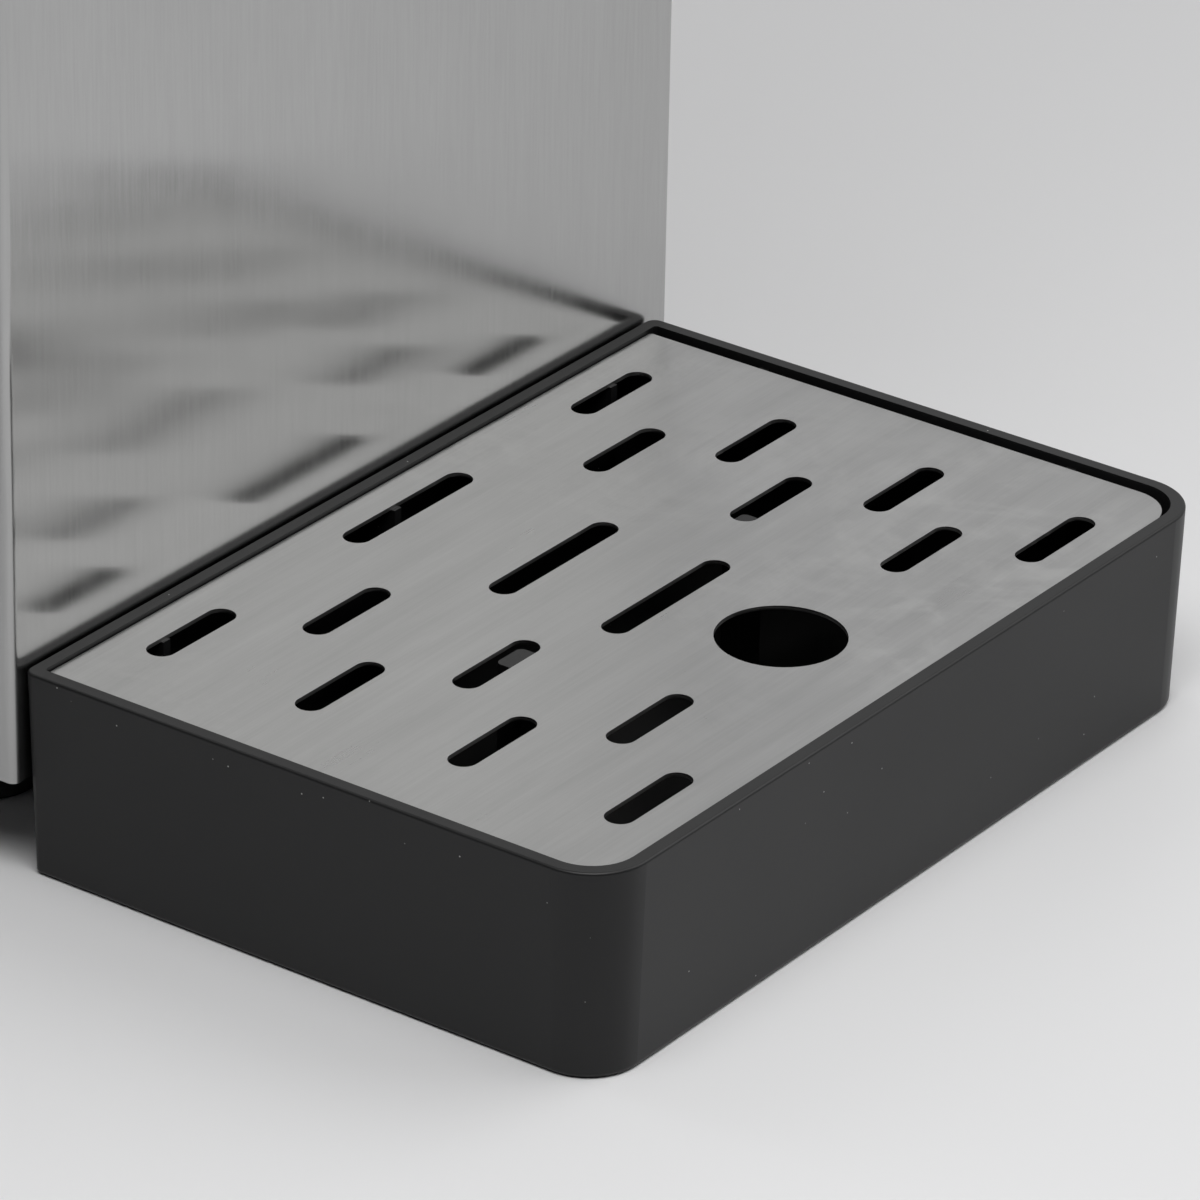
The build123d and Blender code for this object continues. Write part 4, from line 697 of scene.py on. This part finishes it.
def softbox(name, place, aim, size, power):
    """One square soft light, aimed at a point."""
    light = bpy.data.lights.new(name, "AREA")
    light.size = size
    light.energy = power
    lamp = bpy.data.objects.new(name, light)
    lamp.location = place
    lamp.rotation_euler = (Vector(aim) - Vector(place)).to_track_quat("-Z", "Y").to_euler()
    bpy.context.scene.collection.objects.link(lamp)


softbox("overhead", (0, -0.2, 1.8), (0, -0.1, 0), 1.5, 1.2)
softbox("front right", (0.8, -0.9, 1.0), (0, -0.2, 0), 1.2, 7.8)
softbox("back", (0.2, 1.2, 1.4), (0, -0.2, 0), 1.2, 6.4)
softbox("high left", (-0.7, -0.2, 1.6), (-0.1, -0.2, 0), 1.0, 3.4)
softbox("near front", (-0.3, -0.45, 0.8), (-0.2, -0.35, 0), 0.5, 4.2)

# ------------------------------------------------------------------ camera
# A long lens on the left of the front, 27 degrees above the table. It is placed from the middle
# of the plate's rearmost row of slots, in units of the outer slots' distance from that middle.
SLOT_UNIT = 0.0813
FIRST_ROW = 0.0168  # from the tray's rear edge to the rearmost slots
AZIMUTH, ELEVATION, ROLL = math.radians(-54.274), math.radians(26.887), math.radians(1.149)
SHIFT_RIGHT, SHIFT_UP, DISTANCE = 0.55598, -0.2643, 22.84232

tray_low, tray_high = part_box("drip_tray")
grate_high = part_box("drip_grate")[1]
aim = Vector(((tray_low.x + tray_high.x) / 2, tray_high.y - FIRST_ROW, grate_high.z))
turn = Matrix.Rotation(AZIMUTH, 3, "Z") @ Matrix.Rotation(math.pi / 2 - ELEVATION, 3, "X")
turn = turn @ Matrix.Rotation(ROLL, 3, "Z")
view = bpy.data.cameras.new("camera")
view.sensor_width = 36.0
view.lens = 236.28
view.clip_end = 30.0
camera = bpy.data.objects.new("camera", view)
offset = turn @ Vector((SHIFT_RIGHT, SHIFT_UP, DISTANCE)) * SLOT_UNIT
camera.matrix_world = Matrix.Translation(aim + offset) @ turn.to_4x4()
bpy.context.scene.collection.objects.link(camera)
bpy.context.scene.camera = camera
bpy.context.scene.view_settings.view_transform = "Standard"
